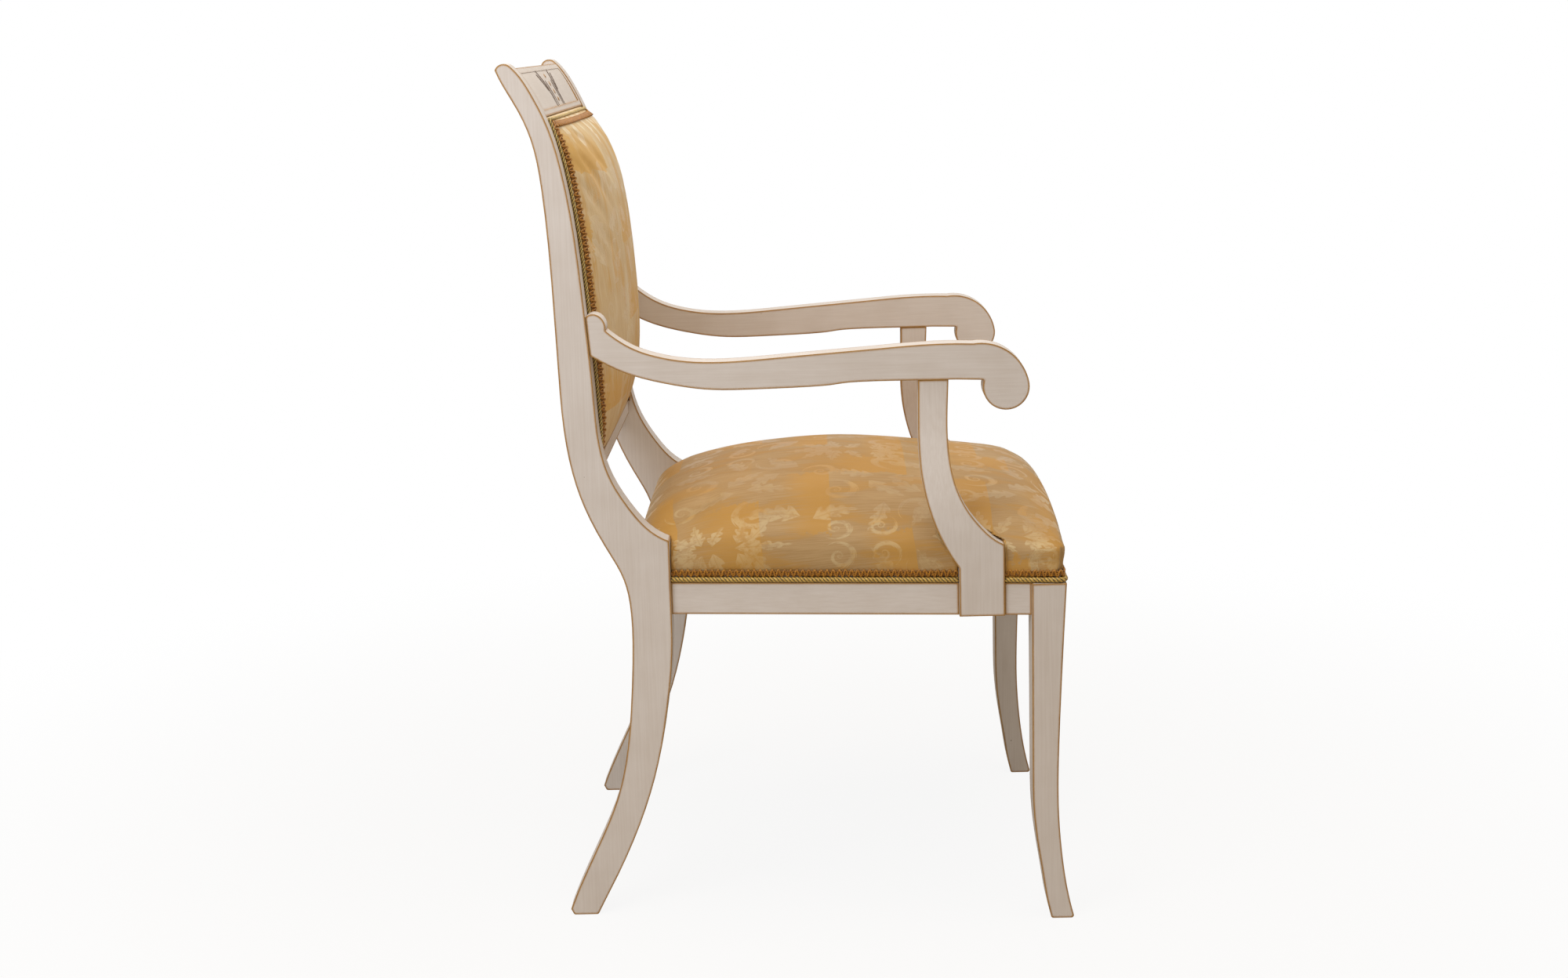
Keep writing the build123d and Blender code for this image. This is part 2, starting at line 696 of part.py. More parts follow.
# Seat webbing: strips across the side rails, and strips from front to rear over them
row_depths = [webbing_first_row + k * webbing_pitch for k in range(webbing_rows)]
column_places = [(k - (webbing_columns - 1) / 2) * webbing_pitch for k in range(webbing_columns)]
webbing_margin = rebate_depth + webbing_tack_margin
with BuildPart() as seat_webbing_cross:
    for y in row_depths:
        with Locations((0, y, rail_top)):
            Box(
                2 * rail_line(y + webbing_width / 2, webbing_margin), webbing_width, webbing_thickness,
                align=(Align.CENTER, Align.CENTER, Align.MIN),
            )
write_node(seat_webbing_cross, "seat_webbing_cross")

webbing_run = seat_rear - seat_front - 2 * webbing_margin
with BuildPart() as seat_webbing_long:
    for x in column_places:
        with Locations((x, (seat_front + seat_rear) / 2, rail_top + webbing_thickness)):
            Box(webbing_width, webbing_run, webbing_thickness, align=(Align.CENTER, Align.CENTER, Align.MIN))
write_node(seat_webbing_long, "seat_webbing_long")

# Room that the upholstery leaves for the arm posts and the back posts
post_clearance = [(y - soft_gap, z) for y, z in back_front_edge]
with BuildPart() as seat_cutouts:
    add(arm_post_solid(soft_gap).part)
    with BuildSketch(Plane.YZ.offset(soft_gap - post_inner)):
        with BuildLine():
            Line((post_face - soft_gap, rail_bottom), post_clearance[0])
            Spline(*post_clearance)
            Polyline(
                post_clearance[-1], (post_face + post_outer, crest_top), (post_face + post_outer, rail_bottom),
                (post_face - soft_gap, rail_bottom),
            )
        make_face()
    extrude(amount=-post_outer)
    mirror(about=Plane.YZ)

# Hessian over the webbing
with BuildPart() as seat_hessian:
    with BuildSketch(Plane.XY.offset(webbing_top)):
        with BuildLine():
            Polyline(*seat_outline(rebate_depth + soft_gap), close=True)
        make_face()
    extrude(amount=hessian_thickness)
    add(seat_cutouts.part, mode=Mode.SUBTRACT)
write_node(seat_hessian, "seat_hessian")


def seat_dome(inset):
    # Crowned body of the seat from the gimp upwards, smaller all over by inset
    with BuildPart() as dome:
        for share, swell in seat_swell:
            rise = skirt_rise + share * (seat_crown_rise - skirt_rise)
            depth = seat_rear - seat_front - 2 * (swell + inset)
            with BuildSketch(Plane.XY.offset(show_top + rise - inset)) as section:
                with BuildLine():
                    Polyline(*seat_outline(swell + inset), close=True)
                make_face()
                radius = seat_corner_radius - skirt_inset + corner_growth * (swell + seat_bulge)
                fillet(section.vertices(), min(radius, corner_limit * depth))
        loft(ruled=True)
    return dome.part


# Seat foam on the hessian, under the cover
with BuildPart() as seat_foam:
    add(seat_dome(cover_thickness + soft_gap))
    split(bisect_by=Plane.XY.offset(hessian_top), keep=Keep.TOP)
    add(seat_cutouts.part, mode=Mode.SUBTRACT)
write_node(seat_foam, "seat_foam")

# Seat cover, drawn down over the foam and tacked to the rails in their rebate
skirt_top = show_top + skirt_rise
with BuildPart() as seat_cover:
    add(seat_dome(0))
    add(seat_prism(skirt_inset, show_top, skirt_top))
    add(seat_dome(cover_thickness), mode=Mode.SUBTRACT)
    add(seat_prism(rebate_depth - soft_gap, rail_bottom, hessian_top), mode=Mode.SUBTRACT)
    add(seat_cutouts.part, mode=Mode.SUBTRACT)
write_node(seat_cover, "seat_cover")

# Dust cover under the seat
with BuildPart() as dust_cover:
    with BuildSketch(Plane.XY.offset(rail_bottom - dust_cover_thickness)):
        with BuildLine():
            Polyline(*seat_outline(dust_cover_margin), close=True)
        make_face()
        for side, edge in ((-1, Align.MAX), (1, Align.MIN)):
            with Locations((side * (leg_inner - soft_gap), leg_rear_face + soft_gap)):
                Rectangle(leg_outer, leg_outer, align=(edge, Align.MAX), mode=Mode.SUBTRACT)
            with Locations((side * (post_inner - soft_gap), post_face - soft_gap)):
                Rectangle(post_outer, post_outer, align=(edge, Align.MIN), mode=Mode.SUBTRACT)
    extrude(amount=dust_cover_thickness)
write_node(dust_cover, "dust_cover")

# Back panel, let into the rebates of the crest rail and the lower rail
pad_low = pad_bottom + soft_gap
pad_high = pad_top - soft_gap
pad_half = post_inner - soft_gap
with BuildPart() as back_panel:
    add(back_band(pad_guide, pad_edge_depth + soft_gap, pad_guide, pad_rebate, pad_low, pad_high, pad_half))
write_node(back_panel, "back_panel")


def pad_dome(inset, reach):
    # Crowned front of the back pad, smaller all over by inset, reaching back behind its edge by reach
    half = pad_half - pad_flange - inset
    low = pad_bottom + pad_flange + inset
    high = pad_top - pad_flange - inset
    with BuildPart() as dome:
        for k in range(pad_sections + 1):
            level = -cos(pi * k / pad_sections)
            share = max((1 - abs(level) ** pad_squareness) ** (1 / 2), pad_least_crown)
            z = (low + high) / 2 + level * (high - low) / 2
            edge = depth_at(pad_guide, z)
            crown = (pad_crown - inset) * share
            shoulder = half - pad_shoulder
            haunch = half - pad_haunch
            shoulder_depth = edge - crown * pad_shoulder_share
            haunch_depth = edge - crown * pad_haunch_share
            with BuildSketch(Plane.XY.offset(z)):
                with BuildLine():
                    Line((-half, edge + reach), (-half, edge))
                    ThreePointArc((-half, edge), (-haunch, haunch_depth), (-shoulder, shoulder_depth))
                    ThreePointArc((-shoulder, shoulder_depth), (0, edge - crown), (shoulder, shoulder_depth))
                    ThreePointArc((shoulder, shoulder_depth), (haunch, haunch_depth), (half, edge))
                    Polyline((half, edge), (half, edge + reach), (-half, edge + reach))
                make_face()
        loft(ruled=True)
    return dome.part


# Back foam on the panel
foam_inset = cover_thickness + soft_gap
with BuildPart() as back_foam:
    add(back_band(pad_guide, foam_inset, pad_guide, pad_edge_depth, pad_low, pad_high, pad_half))
    add(pad_dome(foam_inset, foam_inset + join_overlap))
write_node(back_foam, "back_foam")

# Front cover of the back, with a flat flange for the trim
with BuildPart() as back_front_cover:
    add(back_band(pad_guide, 0, pad_guide, cover_thickness, pad_low, pad_high, pad_half))
    add(pad_dome(0, join_overlap))
    add(pad_dome(cover_thickness, cover_thickness * 2), mode=Mode.SUBTRACT)
write_node(back_front_cover, "back_front_cover")

# Rear cover of the back, stretched between the rear rebates
rear_cover_low = lower_rail_bottom + rear_cover_inset
with BuildPart() as back_rear_cover:
    add(back_band(
        rear_guide, -rear_cover_inset, rear_guide, cover_thickness - rear_cover_inset,
        rear_cover_low, pad_high, pad_half))
write_node(back_rear_cover, "back_rear_cover")


def gimp_frame(guide, near_shift, far_shift, low, high, half, foot):
    # Flat braid along the sides and the top of a back cover, and along its foot where foot is the braid's width
    with BuildPart() as frame:
        add(back_band(guide, near_shift, guide, far_shift, low, high, half))
        add(
            back_band(
                guide, near_shift - gimp_width, guide, far_shift + gimp_width,
                low + foot, high - gimp_width, half - gimp_width,
            ),
            mode=Mode.SUBTRACT,
        )
    return frame


trim_step = back_cord_diameter + 2 * soft_gap
front_trim_half = pad_half - trim_step
front_trim_high = pad_high - trim_step
write_node(
    gimp_frame(
        pad_guide, -soft_gap - gimp_thickness, -soft_gap,
        pad_low, front_trim_high, front_trim_half, -gimp_width,
    ),
    "back_gimp_braid",
)
rear_gimp_shift = cover_thickness - rear_cover_inset + soft_gap
write_node(
    gimp_frame(
        rear_guide, rear_gimp_shift, rear_gimp_shift + gimp_thickness,
        rear_cover_low, pad_high, pad_half, gimp_width,
    ),
    "back_rear_gimp_braid",
)

# Twisted cord up the sides and over the top of the back pad, between the gimp and the frame
cord_half = pad_half - back_cord_diameter / 2
cord_high = pad_high - back_cord_diameter / 2
cord_shift = -soft_gap - cord_lean * back_cord_diameter / 2
side_run = edge_run(pad_guide, pad_low, cord_high, cord_shift)
cord_route = [(-cord_half, *point) for point in side_run]
cord_route += [(cord_half, *point) for point in reversed(side_run)]
cord_bend = [back_cord_bend] * (len(side_run) - 2) + [back_cord_diameter]
with BuildPart() as back_twist_cord:
    with BuildLine() as route:
        FilletPolyline(*cord_route, radius=cord_bend + cord_bend[::-1])
    with BuildSketch(Plane(route.line @ 0, z_dir=route.line % 0)):
        Circle(back_cord_diameter / 2)
    sweep()
write_node(back_twist_cord, "back_twist_cord")

# Gimp round the lower edge of the seat, broken by the arm posts and the back posts
gimp_low = show_top + cord_diameter + 2 * soft_gap
with BuildPart() as seat_gimp_braid:
    add(seat_prism(skirt_inset - soft_gap - gimp_thickness, gimp_low, gimp_low + gimp_width))
    add(seat_prism(skirt_inset - soft_gap, show_top, skirt_top + gimp_width), mode=Mode.SUBTRACT)
    add(seat_cutouts.part, mode=Mode.SUBTRACT)
write_node(seat_gimp_braid, "seat_gimp_braid")

# Twisted cord under the gimp, in four lengths
cord_inset = skirt_inset - soft_gap - cord_diameter / 2
cord_height = show_top + soft_gap + cord_diameter / 2


def seat_side_point(side, y):
    return (side * rail_line(y, cord_inset), y, cord_height)


cord_front = seat_front + cord_inset
cord_rear = seat_rear - cord_inset
rear_cord_half = post_inner - soft_gap
seat_cord_routes = [
    [seat_side_point(side, post_face - soft_gap), seat_side_point(side, block_rear + soft_gap)]
    for side in (-1, 1)
]
seat_cord_routes.append([(-rear_cord_half, cord_rear, cord_height), (rear_cord_half, cord_rear, cord_height)])
seat_cord_routes.append([
    seat_side_point(-1, block_front - soft_gap), seat_side_point(-1, cord_front),
    seat_side_point(1, cord_front), seat_side_point(1, block_front - soft_gap),
])
with BuildPart() as seat_twist_cord:
    for points in seat_cord_routes:
        with BuildLine() as route:
            if len(points) > 2:
                FilletPolyline(*points, radius=seat_corner_radius)
            else:
                Line(*points)
        with BuildSketch(Plane(route.line @ 0, z_dir=route.line % 0)):
            Circle(cord_diameter / 2)
        sweep()
write_node(seat_twist_cord, "seat_twist_cord")
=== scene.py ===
import math
from functools import partial
import bpy
from mathutils import Matrix, Vector


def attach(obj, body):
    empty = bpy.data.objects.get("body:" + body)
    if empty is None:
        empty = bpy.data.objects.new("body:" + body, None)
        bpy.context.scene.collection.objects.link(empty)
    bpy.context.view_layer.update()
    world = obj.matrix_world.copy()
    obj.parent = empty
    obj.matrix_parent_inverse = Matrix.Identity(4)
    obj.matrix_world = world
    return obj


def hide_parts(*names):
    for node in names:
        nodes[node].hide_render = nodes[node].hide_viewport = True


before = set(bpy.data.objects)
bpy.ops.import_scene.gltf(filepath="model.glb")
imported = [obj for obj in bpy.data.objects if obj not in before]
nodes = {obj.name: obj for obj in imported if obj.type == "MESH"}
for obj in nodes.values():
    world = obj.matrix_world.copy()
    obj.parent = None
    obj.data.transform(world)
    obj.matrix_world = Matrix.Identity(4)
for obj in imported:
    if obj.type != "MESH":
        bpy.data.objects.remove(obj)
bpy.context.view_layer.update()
scene = bpy.context.scene
scene.view_settings.view_transform = "Standard"
mm = 0.001
metre = 1000  # in millimetres
print("frame loaded:", len(nodes), "nodes")


# Small helpers

# What the second word of a node's kind sets, as in "Math MULTIPLY"
modeSetting = {
    "Math": "operation", "VectorMath": "operation", "Mix": "data_type", "MapRange": "interpolation_type",
    "TexNoise": "noise_dimensions", "TexWhiteNoise": "noise_dimensions", "VectorRotate": "rotation_type",
}


def hexColour(text):
    channels = [int(text[i:i + 2], 16) / 255 for i in (1, 3, 5)]
    linear = [c / 12.92 if c <= 0.04045 else ((c + 0.055) / 1.055) ** 2.4 for c in channels]
    return (*linear, 1.0)


def setSockets(node, sockets):
    # A value is a number, a vector, a hex colour, a socket, or a node whose first output in use is meant
    for key, value in sockets.items():
        if isinstance(value, bpy.types.Node):
            value = next(output for output in value.outputs if output.enabled)
        if isinstance(value, bpy.types.NodeSocket):
            node.id_data.links.new(value, node.inputs[key])
        else:
            node.inputs[key].default_value = hexColour(value) if isinstance(value, str) else value


def addNode(tree, kind, *sockets, **settings):
    # Sockets are given in their order, or as one dictionary
    kind, *mode = kind.split()
    node = tree.nodes.new("ShaderNode" + kind)
    if mode:
        setattr(node, modeSetting[kind], mode[0])
    for key, value in settings.items():
        if key == "stops":
            for stop, (place, colour) in zip(node.color_ramp.elements, value):
                stop.position, stop.color = place, hexColour(colour)
        else:
            setattr(node, key, value)
    named = sockets and isinstance(sockets[0], dict)
    setSockets(node, sockets[0] if named else dict(enumerate(sockets)))
    return node


def newMaterial(name):
    material = bpy.data.materials.new(name)
    material.use_nodes = True
    tree = material.node_tree
    return material, tree.nodes["Principled BSDF"], partial(addNode, tree)


def meshPiece(name, points, faces, material, smooth=True, layers=None):
    mesh = bpy.data.meshes.new(name)
    mesh.from_pydata(points, [], faces)
    mesh.update()
    if smooth:
        mesh.shade_smooth()
    for finish in material if isinstance(material, list) else [material]:
        mesh.materials.append(finish)
    if layers:
        mesh.polygons.foreach_set("material_index", layers)
    piece = bpy.data.objects.new(name, mesh)
    scene.collection.objects.link(piece)
    return piece


def finishNodes(finish, *names):
    for name in names:
        nodes[name].data.materials.clear()
        nodes[name].data.materials.append(finish)


def mix(a, b, t):
    return a + (b - a) * t


def smoothStep(low, high, x):
    # 0 at low and 1 at high, whichever is larger
    t = min(max((x - low) / (high - low), 0.0), 1.0)
    return t * t * (3 - 2 * t)


def alongLine(line, x):
    # Value at x on a smooth line through (x, value) pairs that never swings past them
    if x <= line[0][0]:
        return line[0][1]
    if x >= line[-1][0]:
        return line[-1][1]
    k = next(i for i in range(len(line) - 1) if x <= line[i + 1][0])
    slopes = []
    for i in (k, k + 1):
        before = line[max(i - 1, 0)], line[max(i, 1)]
        after = line[min(i, len(line) - 2)], line[min(i + 1, len(line) - 1)]
        a, b = [(q[1] - p[1]) / (q[0] - p[0]) for p, q in (before, after)]
        slopes.append(2 * a * b / (a + b) if a * b > 0 else 0.0)
    (x0, v0), (x1, v1) = line[k], line[k + 1]
    t = (x - x0) / (x1 - x0)
    ends = (1 + 2 * t) * (1 - t) ** 2 * v0 + t * t * (3 - 2 * t) * v1
    return ends + (x1 - x0) * t * (1 - t) * ((1 - t) * slopes[0] - t * slopes[1])


def slopeOf(height, x, step=1):
    return (height(x + step) - height(x - step)) / (2 * step)


def turned(angle, a, b):
    # The direction a, turned by an angle towards b
    return math.cos(angle) * a + math.sin(angle) * b


def tangents(centres, closed):
    result, count = [], len(centres)
    for i, centre in enumerate(centres):
        after = centres[(i + 1) % count] if i + 1 < count or closed else centre
        before = centres[i - 1] if i or closed else centre
        result.append((after - before).normalized())
    return result


def ringFaces(first, rings, count, closed=False):
    # Faces between rings of points that follow one another
    faces = []
    for r in range(rings if closed else rings - 1):
        a, b = first + r * count, first + (r + 1) % rings * count
        for k in range(count):
            n = (k + 1) % count
            faces.append((a + k, a + n, b + n, b + k))
    return faces


def gridFaces(deep, wide):
    # A grid of points and the same grid behind it, closed round the rim
    total = deep * wide
    faces = []
    for r in range(deep - 1):
        for c in range(wide - 1):
            a = r * wide + c
            faces.append((a, a + 1, a + wide + 1, a + wide))
            faces.append((total + a + wide, total + a + wide + 1, total + a + 1, total + a))
    rim = list(range(wide)) + [r * wide + wide - 1 for r in range(1, deep)]
    rim += [(deep - 1) * wide + c for c in range(wide - 2, -1, -1)] + [r * wide for r in range(deep - 2, 0, -1)]
    return faces + [(b, a, total + a, total + b) for a, b in zip(rim, rim[1:] + rim[:1])]


# Wood

# Beech, brush-painted in warm grey cream and rubbed back: an eggshell coat with faint brush marks along the
# grain, a few fly specks, and thin worn lines of gold-brown glaze along every edge.
paint = {
    "body": "#DBD2C9", "shade": "#D2C7BC", "edge": "#BE8C36", "edgeDark": "#8A5D22", "speck": "#6B5238",
    "edgeReach": 5.2, "rounding": 1.6, "brushWidth": 2.2, "brushLength": 90, "mottle": 45, "wear": 28,
    "speckCell": 34, "speckSize": 0.022, "speckShare": 0.16, "roughness": 0.5,
}


def grainScale(grain, width, length):
    # Scale that draws a noise out along the grain, one unit per mark width
    scale = [metre / width] * 3
    scale[grain] = metre / length
    return scale


def paintedBeech(name, grain):
    material, shader, add = newMaterial(name)
    place = add("TexCoord").outputs["Object"]
    drawn = add("Mapping", {"Vector": place, "Scale": grainScale(grain, paint["brushWidth"], paint["brushLength"])})
    brush = add("TexNoise", {"Vector": drawn, "Scale": 1.0, "Detail": 3.0, "Roughness": 0.6})
    mottle = add("TexNoise", {"Vector": place, "Scale": metre / paint["mottle"], "Detail": 4.0})
    both = add("Mix FLOAT", {0: 0.45, 2: brush, 3: mottle})
    tone = add("ValToRGB", both, stops=((0.36, paint["shade"]), (0.64, paint["body"])))
    # Edge glaze: where the rounded normal leaves the face's own
    rounded = add("Bevel", {"Radius": paint["rounding"] * mm}, samples=6)
    arris = add("Bevel", {"Radius": paint["edgeReach"] * mm}, samples=12)
    turn = add("VectorMath DOT_PRODUCT", arris, add("NewGeometry").outputs["True Normal"])
    wear = add("TexNoise", {"Vector": place, "Scale": metre / paint["wear"], "Detail": 5.0, "Roughness": 0.7})
    worn = add("MapRange", wear, 0.3, 0.62, 0.98, 0.997)
    edge = add("MapRange SMOOTHSTEP", turn, worn, 0.94)
    glaze = add("Mix RGBA", {0: wear, 6: paint["edge"], 7: paint["edgeDark"]})
    edged = add("Mix RGBA", {0: edge, 6: tone, 7: glaze})
    # Fly specks under a millimetre across, on about one cell in six
    cells = add("TexVoronoi", {"Vector": place, "Scale": metre / paint["speckCell"]})
    dot = add("Math LESS_THAN", cells, paint["speckSize"])
    lot = add("SeparateColor", cells.outputs["Color"])
    few = add("Math LESS_THAN", lot, paint["speckShare"])
    speck = add("Math MULTIPLY", dot, few)
    colour = add("Mix RGBA", {0: speck, 6: edged, 7: paint["speck"]})
    rough = add("MapRange", brush, 0.0, 1.0, paint["roughness"] - 0.08, paint["roughness"] + 0.1)
    marks = add("Bump", {"Strength": 0.25, "Distance": 0.0002, "Height": brush, "Normal": rounded})
    setSockets(shader, {"Base Color": colour, "Roughness": rough, "Normal": marks, "IOR": 1.5})
    return material


# Bare beech and plywood, planed: pale straw brown with short darker flecks along the grain
bare = {"pale": "#D9B78B", "fleck": "#B98F60", "fleckLength": 6, "fleckWidth": 0.9, "roughness": 0.65}


def bareBeech(name, grain):
    material, shader, add = newMaterial(name)
    place = add("TexCoord").outputs["Object"]
    drawn = add("Mapping", {"Vector": place, "Scale": grainScale(grain, bare["fleckWidth"], bare["fleckLength"])})
    flecks = add("TexNoise", {"Vector": drawn, "Scale": 0.5, "Detail": 4.0})
    tone = add("ValToRGB", flecks, stops=((0.35, bare["fleck"]), (0.6, bare["pale"])))
    setSockets(shader, {"Base Color": tone, "Roughness": bare["roughness"]})
    return material


woodAcross = paintedBeech("paintedBeechAcross", 0)
woodDeep = paintedBeech("paintedBeechDeep", 1)
woodUpright = paintedBeech("paintedBeechUpright", 2)
dowelBeech = bareBeech("planedBeech", 1)
finishNodes(woodAcross, "crest_rail", "lower_back_rail", "front_seat_rail", "rear_seat_rail")
finishNodes(dowelBeech, "arm_dowels", "back_rail_dowels", "seat_rail_dowels")
finishNodes(bareBeech("sandedPlywood", 2), "back_panel")
for hand in ("left_", "right_"):
    finishNodes(woodDeep, hand + "seat_rail", hand + "arm")
    finishNodes(woodUpright, hand + "arm_post", hand + "back_post", hand + "front_leg")
    finishNodes(dowelBeech, hand + "front_corner_block", hand + "rear_corner_block")
print("wood finishes made")

# Camera at the photograph's view, and the studio
view = {
    "place": (-2.69782, -0.02565, 1.00851), "yaw": 0.0143434, "pitch": 0.2014686, "roll": 0.026459,
    "lens": 51.07, "sensor": 36.0,
}
yaw, pitch, roll = view["yaw"], view["pitch"], view["roll"]
forward = Vector((math.cos(yaw) * math.cos(pitch), math.sin(yaw) * math.cos(pitch), -math.sin(pitch)))
level = Vector((math.sin(yaw), -math.cos(yaw), 0.0))
down = forward.cross(level)
right, down = turned(roll, level, down), turned(roll, down, -level)
lensData = bpy.data.cameras.new("camera")
lensData.lens = view["lens"]
lensData.sensor_width = view["sensor"]
camera = bpy.data.objects.new("camera", lensData)
camera.matrix_world = Matrix.Translation(view["place"]) @ Matrix((right, -down, -forward)).transposed().to_4x4()
scene.collection.objects.link(camera)
scene.camera = camera

studio = {
    "floor": "#DCD3C6", "floorRoughness": 0.9, "floorHalf": 9, "world": 0.37, "worldColour": "#FFF4E8",
    "keyLight": {
        "power": 15.0, "colour": "#F1F6FF", "place": (-1.3, 0.9, 1.6), "aim": (-0.1, 0.2, 0.7), "size": 1.0},
    "topLight": {
        "power": 29.0, "colour": "#FFF8EE", "place": (-0.3, -0.2, 2.6), "aim": (0, 0, 0.5), "size": 1.6},
}
world = bpy.data.worlds.new("studio")
scene.world = world
world.use_nodes = True
world.node_tree.nodes.clear()
add = partial(addNode, world.node_tree)
rays = add("LightPath").outputs
glossOrCamera = add("Math MAXIMUM", rays["Is Camera Ray"], rays["Is Glossy Ray"])
seen = add("Math MAXIMUM", glossOrCamera, rays["Is Transmission Ray"])
strength = add("MapRange", seen, 0.0, 1.0, studio["world"], 1.0)
skyTint = add("Mix RGBA", {0: seen, 6: studio["worldColour"], 7: "#FFFFFF"})
add("OutputWorld", {"Surface": add("Background", {"Color": skyTint, "Strength": strength})})

floorPaint, shader, add = newMaterial("studioFloor")
setSockets(shader, {"Base Color": studio["floor"], "Roughness": studio["floorRoughness"]})
# The floor goes over into the white background with distance from the chair
reach = add("VectorMath LENGTH", add("NewGeometry").outputs["Position"])
paleness = add("MapRange SMOOTHSTEP", reach, 0.4, 1.7, 0.9, 1.0)
share = add("Math MULTIPLY", add("LightPath").outputs["Is Camera Ray"], paleness)
glow = add("Emission", {"Color": "#FFFFFF", "Strength": 1.0})
blend = add("MixShader", share, shader, glow)
setSockets(floorPaint.node_tree.nodes["Material Output"], {"Surface": blend})
far = studio["floorHalf"]
corners = [(-far, -far, 0), (far, -far, 0), (far, far, 0), (-far, far, 0)]
floor = meshPiece("floor", corners, [(0, 1, 2, 3)], floorPaint, smooth=False)

for name in ("keyLight", "topLight"):
    lamp = bpy.data.lights.new(name, "AREA")
    lamp.energy = studio[name]["power"]
    lamp.color = hexColour(studio[name]["colour"])[:3]
    lamp.size = studio[name]["size"]
    lampObject = bpy.data.objects.new(name, lamp)
    lampObject.visible_camera = False
    place = Vector(studio[name]["place"])
    facing = (Vector(studio[name]["aim"]) - place).to_track_quat("-Z", "Y")
    lampObject.matrix_world = Matrix.Translation(place) @ facing.to_matrix().to_4x4()
    scene.collection.objects.link(lampObject)
print("camera and studio set")


# Cloth and yarn

# Damask, woven on a jacquard loom in rayon and cotton: a matt sand ground, satin motifs that catch the light,
# and golden weft that comes and goes in brushed blocks. Leaves and curls repeat in half-drop rows. The back is
# paler than the seat: one damask in a lit copy on the back and a shaded copy on the seat, painted light and shade.
# Lift is how much more the satin shows as painted sheen where the cloth bends away from facing.
damask = {
    # Seat copy, darker: painted shade
    "seat": {
        "ground": "#A78351", "pale": "#B99767", "satin": "#DECB9B", "gold": "#CD983B", "deep": "#BA842C",
        "weight": 0.66, "lift": 0.36, "facing": (0, 0, 1),
    },
    # Back copy, paler: painted light
    "back": {
        "ground": "#D5B686", "pale": "#E2CBA0", "satin": "#F8EED2", "gold": "#E2B04C", "deep": "#D29C3C",
        "weight": 0.7, "lift": 0.62, "facing": (0, -1, 0),
    },
    "tile": (148, 206), "enlarge": 1.6, "block": (124, 92), "band": (62, 150), "twill": 2.6, "threads": 1.3,
    "streak": (1.8, 55), "cloud": (34, 105), "fray": 14, "stray": 26, "sheen": 120,
    "roughGround": 0.62, "roughSatin": 0.4, "sheenTint": "#F0D9A0",
}
# One repeat of the pattern, its right half.
# Leaves: place, angle, length, width, bend, lobes. Curls: place, angle, size, hand.
sprays = [
    ((0, 22), 90, 36, 8, 0, 4), ((2, 20), 56, 34, 8, -6, 4), ((4, 16), 24, 31, 7, -8, 4),
    ((3, 8), -8, 25, 6, -7, 3), ((0, -8), -90, 44, 6, 0, 5), ((3, -14), -52, 34, 7, 9, 4),
    ((4, -10), -26, 30, 6, 8, 4),
    ((30, -58), 70, 44, 9, 14, 5), ((26, -66), -62, 34, 8, -10, 4), ((46, 46), 128, 40, 9, 12, 5),
    ((56, 60), 62, 34, 8, -12, 4), ((66, -10), 96, 40, 8, 10, 5), ((68, -18), -86, 36, 8, -10, 4),
    ((40, 88), 172, 34, 7, -10, 4), ((72, 98), -146, 36, 8, 8, 4),
]
curls = [
    ((34, -26), 40, 19, 1.0), ((30, 62), -60, 17, -1.0), ((58, 30), 150, 14, 1.0),
    ((56, -84), 20, 17, -1.0), ((14, -82), 200, 13, 1.0), ((15, 92), 90, 13, -1.0),
]
leafValues = ("Angle", "Length", "Width", "Bend", "Lobes")
curlValues = ("Angle", "Size", "Hand")


def maskGroup(name, values):
    # Node group that turns a point and the values of one figure into its mask
    group = bpy.data.node_groups.new(name, "ShaderNodeTree")
    for socket in ("Point", "Place", *values):
        kind = "Vector" if socket in ("Point", "Place") else "Float"
        group.interface.new_socket(socket, in_out="INPUT", socket_type="NodeSocket" + kind)
    group.interface.new_socket("Mask", in_out="OUTPUT", socket_type="NodeSocketFloat")
    given = group.nodes.new("NodeGroupInput").outputs
    moved = addNode(group, "VectorMath SUBTRACT", given["Point"], given["Place"])
    return group, given, moved, group.nodes.new("NodeGroupOutput"), partial(addNode, group)


def leafGroup():
    # One leaf: it starts at Place, points along Angle, and bends sideways by Bend over its Length
    group, given, moved, result, add = maskGroup("wovenLeaf", leafValues)
    back = add("Math MULTIPLY", given["Angle"], -math.pi / 180)
    parts = add("SeparateXYZ", add("VectorRotate Z_AXIS", {"Vector": moved, "Angle": back})).outputs
    way = add("Math DIVIDE", parts[0], given["Length"], use_clamp=True)
    square = add("Math MULTIPLY", way, way)
    bend = add("Math MULTIPLY", square, given["Bend"])
    away = add("Math ABSOLUTE", add("Math SUBTRACT", parts[1], bend))
    belly = add("Math POWER", way, 0.7)
    swell = add("Math SINE", add("Math MULTIPLY", belly, math.pi))
    notch = add("Math MULTIPLY", way, given["Lobes"])
    barb = add("Math MULTIPLY_ADD", away, -0.09, notch)
    wave = add("Math PINGPONG", barb, 0.5)
    lobed = add("MapRange SMOOTHSTEP", wave, 0.0, 0.4, 0.5, 1.0)
    half = add("Math MULTIPLY", swell, lobed)
    reach = add("Math MULTIPLY", half, given["Width"])
    gap = add("Math SUBTRACT", reach, away)
    filled = add("MapRange SMOOTHSTEP", gap, 0.0, 0.9)
    vein = add("MapRange SMOOTHSTEP", away, 0.25, 0.8, 0.6)
    setSockets(result, {"Mask": add("Math MULTIPLY", filled, vein)})
    return group


